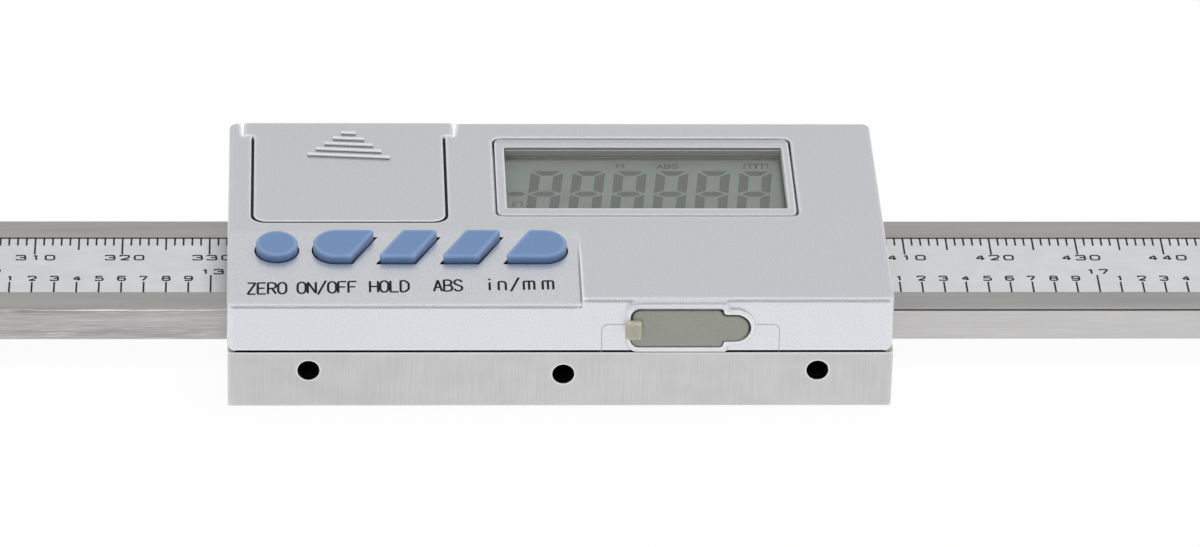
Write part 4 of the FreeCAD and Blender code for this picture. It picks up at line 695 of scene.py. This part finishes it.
def window_acrylic():
    """Clear cast acrylic pane: too thin to bend what is behind it, so it only veils it a little."""
    material, tree = blank("clear_acrylic")
    haze = grain(tree, PANE_HAZE)
    rough = add(tree, "MapRange", {"Value": haze, **NOISE_RANGE, "To Min": 0.02, "To Max": 0.06})
    return dressed(material, Base_Color="#e4e8e4", IOR=1.49, Alpha=0.06, Roughness=rough)


def cell_glass():
    """Liquid crystal cell: grey-green polariser film on glass, with painted light in a pale band under the
    frame.
    """
    material, tree = blank("polariser_on_glass")
    cloud = grain(tree, CELL_CLOUD)
    axes = add(tree, "SeparateXYZ", {"Vector": add(tree, "TexCoord").outputs["Object"]})
    rear = span("display_window")[1][1] - LIGHT_BAND_INSET
    # Painted light: a pale band along the rear edge, where the frame shades the cell
    painted_light_band = add(tree, "MapRange", {"Value": axes.outputs["Y"], "From Min": (rear - LIGHT_BAND_BEFORE) * MM,
                                    "From Max": (rear + LIGHT_BAND_AFTER) * MM})
    colour = add(tree, "ValToRGB", {"Fac": cloud}, ramp=("#7e8581", "#868d89"))
    colour = add(tree, "Mix", {"Factor": painted_light_band, "A": colour, "B": "#cfcfcb"}, data_type="RGBA")
    rough = add(tree, "MapRange", {"Value": cloud, **NOISE_RANGE, "To Min": 0.4, "To Max": 0.5})
    return dressed(material, Base_Color=colour, Specular_IOR_Level=0.1, Roughness=rough)


# Materials: plain finishes, mostly inside the head

def mottled(name, dark, light, size, roughness, depth=0.004, **constants):
    """A plain engineering finish: a fine mottle of two near colours with as fine a relief."""
    material, tree = blank(name)
    spots = grain(tree, (size, size, size))
    colour = add(tree, "ValToRGB", {"Fac": spots}, ramp=(dark, light))
    rough = add(tree, "MapRange", {"Value": spots, **NOISE_RANGE, "To Min": roughness - 0.05,
                                   "To Max": roughness + 0.05})
    return dressed(material, Base_Color=colour, Roughness=rough, Normal=relief(tree, spots, depth, 0.06),
                   **constants)


paint = silver_paint()
black_ink = ink("black_ink", "#0e0f14", "#181a21")
tick_ink = ink("dark_scale_ink", "#191a1f", "#25262c")
bar_steel = beam_steel()
block_steel = carriage_steel()
bezel_silver = bezel_paint()
blue_silicone = silicone("blue_silicone", "#6383b3", "#6f8ebb", "#8fabd6")
# Blasted and anodised: an even, dull silver
anodised = mottled("bead_blasted_anodised_aluminium", "#a9abad", "#b6b8ba", 0.25, 0.42, 0.006, Metallic=0.9)
# Plated: a cool, half-bright grey
screw_steel = mottled("zinc_plated_steel", "#8f9296", "#a3a6a9", 0.5, 0.32, 0.002, Metallic=1.0)
# Rolled bronze: a warm, half-bright brown
bronze = mottled("bearing_bronze", "#93703a", "#a98449", 0.6, 0.35, 0.003, Metallic=1.0)
# Solder lacquer over woven glass: glossy dark green
laminate = mottled("green_circuit_laminate", "#1d4a2c", "#27593a", 0.4, 0.38, 0.003, Coat_Weight=0.4)
# Moulded resins: satin, with the grain of the tool
black_resin = mottled("black_moulded_resin", "#1b1b1c", "#262627", 0.25, 0.5, 0.005)
white_resin = mottled("white_moulded_resin", "#dcdcd8", "#e6e6e2", 0.3, 0.45, 0.004)
# Rubber filled with soot: matt black
carbon = mottled("carbon_rubber", "#141414", "#1e1e1e", 0.2, 0.65, 0.005)
# Drawn and plated cans, and tinned springs: smooth, bright and a little warm
can_steel = mottled("nickel_plated_can", "#c4c3bd", "#cac9c3", 2.0, 0.32, 0.0003, Metallic=1.0)
spring_metal = mottled("tinned_spring_bronze", "#c0bba9", "#cdc8b7", 0.6, 0.28, 0.002, Metallic=1.0)
# Fired ceramic: a matt tan body
ceramic = mottled("capacitor_ceramic", "#a98f6b", "#b89d77", 0.2, 0.5, 0.003)
# Layers of black and pale rubber: a speckled grey
zebra = mottled("layered_elastomer", "#3b3b3d", "#8d8d8a", 0.18, 0.6, 0.004)
# Rolled foil: a soft silver sheen
foil = mottled("reflector_foil", "#cfd2cf", "#dadcda", 0.5, 0.3, 0.003, Metallic=0.8)

FINISHES = {
    bar_steel: ["beam"],
    label_film(): ["scale_label"],
    laminate: ["scale_grating", "main_board", "sensor_plate"],
    anodised: ["end_bracket_left", "end_bracket_right"],
    screw_steel: ["bracket_screws", "gib_set_screws", "housing_screws", "board_screws"],
    block_steel: ["carriage_base"],
    bronze: ["gib_strip"],
    paint: ["housing", "battery_cover"],
    bezel_silver: ["display_bezel"],
    window_acrylic(): ["display_window"],
    cell_glass(): ["lcd_glass"],
    foil: ["lcd_reflector"],
    black_resin: ["controller_chip", "battery_holder", "data_socket"],
    can_steel: ["crystal", "battery_cell"],
    ceramic: ["chip_capacitors"],
    white_resin: ["display_carrier"],
    zebra: ["zebra_connector"],
    spring_metal: ["battery_contact_positive", "battery_contact_negative", "data_contacts"],
    blue_silicone: ["key_zero", "key_power", "key_hold", "key_abs", "key_unit"],
    silicone("pale_silicone_mat", "#8f9aad", "#9aa5b8", "#a8b3c5"): ["keypad_mat"],
    carbon: ["carbon_pill_zero", "carbon_pill_power", "carbon_pill_hold", "carbon_pill_abs",
             "carbon_pill_unit"],
    plug_rubber(): ["port_plug"],
}
for finish, nodes in FINISHES.items():
    for node in nodes:
        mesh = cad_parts[node].data
        mesh.materials.clear()
        mesh.materials.append(finish)


# Printed label

def label_ticks():
    """Millimetre ticks hang from the label's rear edge, longer every five and ten; inches stand on its front.

    A tick is drawn once for each length and copied to all its readings.
    """
    level = span("scale_label")[1][2]
    readings = np.arange(LABEL_END + 1)
    longest = np.where(readings % 10 == 0, 10, np.where(readings % 5 == 0, 5, 1))
    tenths = np.arange(int(LABEL_END / INCH * 10) + 1)
    whole = tenths % 10 == 0
    rows = [(TICK_START, end, readings[longest == step]) for step, end in TICK_ENDS.items()]
    rows.append((INCH_TICK_START, INCH_TENTH_END, tenths[~whole] * INCH / 10))
    rows.append((INCH_TICK_START, INCH_WHOLE_END, tenths[whole] * INCH / 10))
    shapes = []
    for start, end, marks in rows:
        tick = ribbon(np.array([(0, start), (0, end)], float), TICK_WIDTH, 0, PRINT_THICKNESS)
        spots = marks + LABEL_ZERO
        shapes.append(tiled(tick, np.stack([spots, 0 * spots, 0 * spots + level], axis=1)))
    return joined(shapes)


def label_numbers():
    """Millimetres every ten under their ticks, tenths of an inch over theirs, and whole inches over those."""
    level = span("scale_label")[1][2]
    millimetres = []
    for value in range(0, LABEL_END, 10):
        narrow = value // 10 % 10 == 1
        shift = NUMBER_SHIFT if narrow else WIDE_NUMBER_SHIFT
        millimetres.append((str(value), LABEL_ZERO + value + shift))
    tenths = [(str(value % 10), LABEL_ZERO + value * INCH / 10)
              for value in range(int(LABEL_END / INCH * 10) + 1) if value % 10]
    inches = [(str(value), LABEL_ZERO + NUMBER_SHIFT + value * INCH)
              for value in range(int(LABEL_END / INCH) + 1)]
    return joined([numbers(millimetres, *MILLIMETRE_ROW, level), numbers(tenths, *TENTH_ROW, level),
                   numbers(inches, *INCH_ROW, level)])


def label_border():
    """A fine printed line along the label's rear edge."""
    low, high = span("scale_label")
    edge = high[1] - BORDER_WIDTH / 2
    ends = np.array([(low[0] + BORDER_INSET, edge), (high[0] - BORDER_INSET, edge)])
    return ribbon(ends, BORDER_WIDTH, high[2], high[2] + PRINT_THICKNESS)


piece("label_border", label_border(), "beam", tick_ink)
piece("label_ticks", label_ticks(), "beam", tick_ink)
piece("label_numbers", label_numbers(), "beam", tick_ink)


# Key legends on the sloped field

def key_legends():
    """Words on a line that rises a little to the right, laid on the plane of the keypad field."""
    points, quads = joined([line_of_text(*legend, LEGEND_HEIGHT, LEGEND_STROKE, LEGEND_ROUNDING)
                            for legend in LEGENDS])
    points[:, 1] += LEGEND_BASELINE + LEGEND_TILT * points[:, 0]
    points[:, 2] += span("housing")[1][2] - (KEYPAD_START - points[:, 1]) * KEYPAD_FALL
    return points, quads


piece("key_legends", key_legends(), "carriage", black_ink)


# Display segments

def digit_segments():
    """Seven bars of one digit about its middle: slanted uprights, wedges above and below, and a lens between.

    Each bar is the flat between an outer and an inner edge, mirrored about the middle and from side to side.
    """
    width, half, bar, gap = DIGIT_WIDTH, DIGIT_HALF, SEGMENT_WIDTH, SEGMENT_GAP
    lens_half, lens_tip, lens_end = bar / 2, 0.03, bar * 0.45
    foot, shoulder, spare, wedge_end = lens_half * 0.35, bar * 0.4, 0.1, bar * 0.35
    upright_outer = np.array([(0, foot), (0, half - shoulder)])
    upright_inner = np.array([(bar, lens_half + gap + spare), (bar, half - bar - gap)])
    top_outer = np.array([(wedge_end, half), (width - wedge_end, half)])
    top_inner = np.array([(bar + gap, half - bar + gap / 2), (width - bar - gap, half - bar + gap / 2)])
    lens = np.array([(lens_end, lens_tip), (bar + gap, lens_half), (width - bar - gap, lens_half),
                     (width - lens_end, lens_tip)])
    flip = np.array([1, -1])
    edges = [(upright_outer, upright_inner), (upright_outer * flip, upright_inner * flip),
             ((width, 0) - upright_outer * flip, (width, 0) - upright_inner * flip),
             ((width, 0) - upright_outer, (width, 0) - upright_inner),
             (top_outer, top_inner), (top_outer * flip, top_inner * flip), (lens, lens * flip)]
    return joined([plate(one, other, 0, PRINT_THICKNESS) for one, other in edges])


def display_marks():
    """Six digits, a minus sign and the unit words, all slanted by a share of their Y and laid on the cell."""
    low, high = span("lcd_glass")
    middle = (low + high) / 2
    spots = np.zeros((DIGIT_COUNT, 3))
    spots[:, 0] = DIGIT_LEFT + np.arange(DIGIT_COUNT) * DIGIT_PITCH
    minus = np.array(MINUS_EDGE) + (DIGIT_LEFT, 0)
    shapes = [tiled(digit_segments(), spots), plate(minus, minus * (1, -1), 0, PRINT_THICKNESS)]
    for text, left, right, base, height, letter in SIGNS:
        points, quads = line_of_text(text, left, right, letter, height, SIGN_STROKE, SIGN_ROUNDING)
        shapes.append((points + (-base * DIGIT_SLANT, base, 0), quads))
    points, quads = joined(shapes)
    points[:, 0] += points[:, 1] * DIGIT_SLANT + middle[0]
    points[:, 1] += DIGIT_MIDDLE + middle[1]
    points[:, 2] += high[2]
    return points, quads


segment_ink = ink("switched_liquid_crystal", "#585a5a", "#5f6161")
piece("display_marks", display_marks(), "carriage", segment_ink)


# Raised face of the bezel

def bezel_face():
    """A ring on the bezel between two rounded rectangles, and a flat filler in the gap behind it."""
    bezel_low, bezel_high = span("display_bezel")
    pane_low, pane_high = span("display_window")
    flange, gap, seat, shift, rise, sunk = 1.0, 0.2, 0.8, 0.13, 0.27, 0.05
    side_inset, front_inset, outer_rounding, inner_rounding = 0.05, 0.4, 0.9, 0.3
    filler_inset, filler_overlap, filler_depth = 0.35, 0.2, 0.2
    low, high = bezel_low + flange, bezel_high - flange
    rear = high[1] + gap / 2
    face_top = bezel_high[2] + rise
    filler = ribbon(np.array([(low[0] + filler_inset, rear), (high[0] - filler_inset, rear)]),
                    gap + filler_overlap, bezel_high[2] - filler_depth, face_top)
    left, right, front = low[0] + side_inset, high[0] - side_inset, low[1] + front_inset
    outer = [(left, front), (right, front), (right, high[1]), (left, high[1])]
    inner_low, inner_high = pane_low + seat, pane_high - seat
    left, right = inner_low[0] + shift, inner_high[0] + shift
    inner = [(left, inner_low[1]), (right, inner_low[1]), (right, inner_high[1]), (left, inner_high[1])]
    face = plate(rounded(outer, outer_rounding, True), rounded(inner, inner_rounding, True),
                 bezel_high[2] - sunk, face_top, True)
    return joined([filler, face])


piece("bezel_face", bezel_face(), "carriage", bezel_silver)


# Fine seam of the port's mould insert on the front wall

def insert_seam():
    """Two hairlines that run from the port's rim outwards, round a corner and down to the lower edge."""
    low = span("housing")[0][2] + SEAM_FOOT
    lines = []
    for side, rim in SEAM_SIDES:
        path = rounded([(side, low), (side, SEAM_TOP), (rim, SEAM_TOP)], SEAM_ROUNDING, steps=6)
        lines.append(ribbon(path, SEAM_WIDTH, 0.0, SEAM_HEIGHT))
    points, quads = joined(lines)
    return np.stack([points[:, 0], FRONT - points[:, 2], points[:, 1]], axis=1), quads


seam_shade = mottled("shaded_seam", "#a0a6ad", "#b4bac0", 0.3, 0.5)
piece("insert_seam", insert_seam(), "carriage", seam_shade)


# Threads in the front holes

def thread(middle_x, middle_z):
    """A blunt tooth carried inwards along a helix: its corners' radius and depth, turned with the angle."""
    turned = np.linspace(0, THREAD_TURNS * 2 * math.pi, THREAD_TURNS * THREAD_STEPS + 1)[:, None]
    radius = np.array([THREAD_ROOT, THREAD_CREST, THREAD_CREST, THREAD_ROOT])[None]
    corners = np.array([-ROOT_HALF, -CREST_HALF, CREST_HALF, ROOT_HALF])[None]
    depth = corners + THREAD_START + turned / (2 * math.pi) * THREAD_PITCH
    return skin(np.stack([middle_x + radius * np.cos(turned), FRONT + depth,
                          middle_z + radius * np.sin(turned)], axis=-1))


piece("hole_threads", joined([thread(x, z) for x, z in HOLES]), "carriage", block_steel)


# Camera, floor and light

FOCAL_PIXELS = 6778.13
PHOTO_WIDTH = 1200
SENSOR = 36.0
NEAREST = 0.01
CAMERA_PLACE = (-30.005, -667.868, 403.687)
CAMERA_PITCH, CAMERA_YAW, CAMERA_ROLL = (math.radians(angle) for angle in (30.748, 3.0155, -1.5367))
# Floor: half its side in metres, its level in millimetres, and how white it shows
FLOOR_HALF = 4.0
FLOOR_LEVEL = -0.02
FLOOR_WHITE = 0.95
WORLD_FILL = 0.45
# Cards that reflections see: two opposite corners in metres, brightness and colour
CARDS = {"dark_front_card": ((-2.0, -1.4, 0.0), (2.0, -1.4, 1.45), 0.05, "#ffffff"),
         "pale_top_card": ((-2.5, -1.4, 2.4), (2.5, 1.4, 2.4), 0.85, "#ffffff"),
         "grey_back_card": ((-2.5, 1.4, 0.0), (2.5, 1.4, 0.95), 0.53, "#fffdfb"),
         "pale_back_card": ((-2.5, 1.4, 0.95), (2.5, 1.4, 2.4), 0.68, "#ffffff")}
# Lamps: place and side in metres, and power in watts; they aim at the middle of the reading head
LAMPS = {"front_soft_box": ((-0.2, -0.95, 0.45), 0.6, 1.5), "top_soft_box": ((0.2, -0.02, 1.05), 0.45, 5.0)}
LAMP_AIM = (0, 0, 0.008)


def set_camera():
    """A camera aimed by its pitch below the horizon, its yaw from the Y axis and its roll."""
    forward = Vector((math.sin(CAMERA_YAW) * math.cos(CAMERA_PITCH),
                      math.cos(CAMERA_YAW) * math.cos(CAMERA_PITCH), -math.sin(CAMERA_PITCH)))
    level = Vector((math.cos(CAMERA_YAW), -math.sin(CAMERA_YAW), 0))
    down = forward.cross(level)
    right = math.cos(CAMERA_ROLL) * level + math.sin(CAMERA_ROLL) * down
    below = -math.sin(CAMERA_ROLL) * level + math.cos(CAMERA_ROLL) * down
    data = bpy.data.cameras.new("camera")
    data.sensor_width = SENSOR
    data.lens = FOCAL_PIXELS / PHOTO_WIDTH * SENSOR
    data.clip_start = NEAREST
    camera = bpy.data.objects.new("camera", data)
    turn = Matrix((right, -below, -forward)).transposed().to_4x4()
    camera.matrix_world = Matrix.Translation(Vector(CAMERA_PLACE) * MM) @ turn
    bpy.context.scene.collection.objects.link(camera)
    bpy.context.scene.camera = camera


def seen_rays(tree):
    """One for rays of the camera, of mirrors and of glass, and zero for rays that only carry light."""
    path = add(tree, "LightPath")
    seen = add(tree, "Math", {0: path.outputs["Is Camera Ray"], 1: path.outputs["Is Glossy Ray"]},
               operation="MAXIMUM")
    return add(tree, "Math", {0: seen, 1: path.outputs["Is Transmission Ray"]}, operation="MAXIMUM")


def flat_sheet(name, corners, material):
    """One flat face on four corners."""
    mesh = bpy.data.meshes.new(name)
    mesh.from_pydata(corners, [], [(0, 1, 2, 3)])
    mesh.materials.append(material)
    sheet = bpy.data.objects.new(name, mesh)
    bpy.context.scene.collection.objects.link(sheet)
    return sheet


def set_floor():
    """A pale floor that shows nearly white to the camera and still takes a soft shadow."""
    material, tree = blank("pale_floor")
    share = add(tree, "Math", {0: seen_rays(tree), 1: FLOOR_WHITE}, operation="MULTIPLY")
    matt = add(tree, "BsdfDiffuse", {"Color": "#f6f6f6"})
    white = add(tree, "Emission", {"Color": "#ffffff", "Strength": 1.0})
    add(tree, "OutputMaterial", {"Surface": add(tree, "MixShader", {0: share, 1: matt, 2: white})})
    half, level = FLOOR_HALF, FLOOR_LEVEL * MM
    corners = [(-half, -half, level), (half, -half, level), (half, half, level), (-half, half, level)]
    floor = flat_sheet("floor", corners, material)


def set_world():
    """White to the camera, mirrors and glass; a plain half-strength fill for everything else."""
    world = bpy.data.worlds.new("studio")
    bpy.context.scene.world = world
    world.use_nodes = True
    tree = world.node_tree
    tree.nodes.clear()
    strength = add(tree, "MapRange", {"Value": seen_rays(tree), "To Min": WORLD_FILL, "To Max": 1.0})
    sky = add(tree, "Background", {"Color": "#ffffff", "Strength": strength})
    add(tree, "OutputWorld", {"Surface": sky})


def set_card(name, low, high, level, colour):
    """A card of even brightness that only reflections see, upright or level, between two opposite corners."""
    material, tree = blank(name)
    add(tree, "OutputMaterial", {"Surface": add(tree, "Emission", {"Color": colour, "Strength": level})})
    card = flat_sheet(name, [low, (high[0], *low[1:]), high, (low[0], *high[1:])], material)
    for ray in ("camera", "diffuse", "transmission", "shadow"):
        setattr(card, "visible_" + ray, False)


def soft_box(name, place, size, power):
    """A square lamp aimed at the reading head, which mirrors don't show."""
    data = bpy.data.lights.new(name, "AREA")
    data.shape = "SQUARE"
    data.size = size
    data.energy = power
    lamp = bpy.data.objects.new(name, data)
    lamp.visible_glossy = False
    lamp.location = place
    lamp.rotation_euler = (Vector(LAMP_AIM) - Vector(place)).to_track_quat("-Z", "Y").to_euler()
    bpy.context.scene.collection.objects.link(lamp)


set_camera()
set_floor()
set_world()
for name, card in CARDS.items():
    set_card(name, *card)
for name, lamp in LAMPS.items():
    soft_box(name, *lamp)

bpy.context.scene.view_settings.view_transform = "Standard"
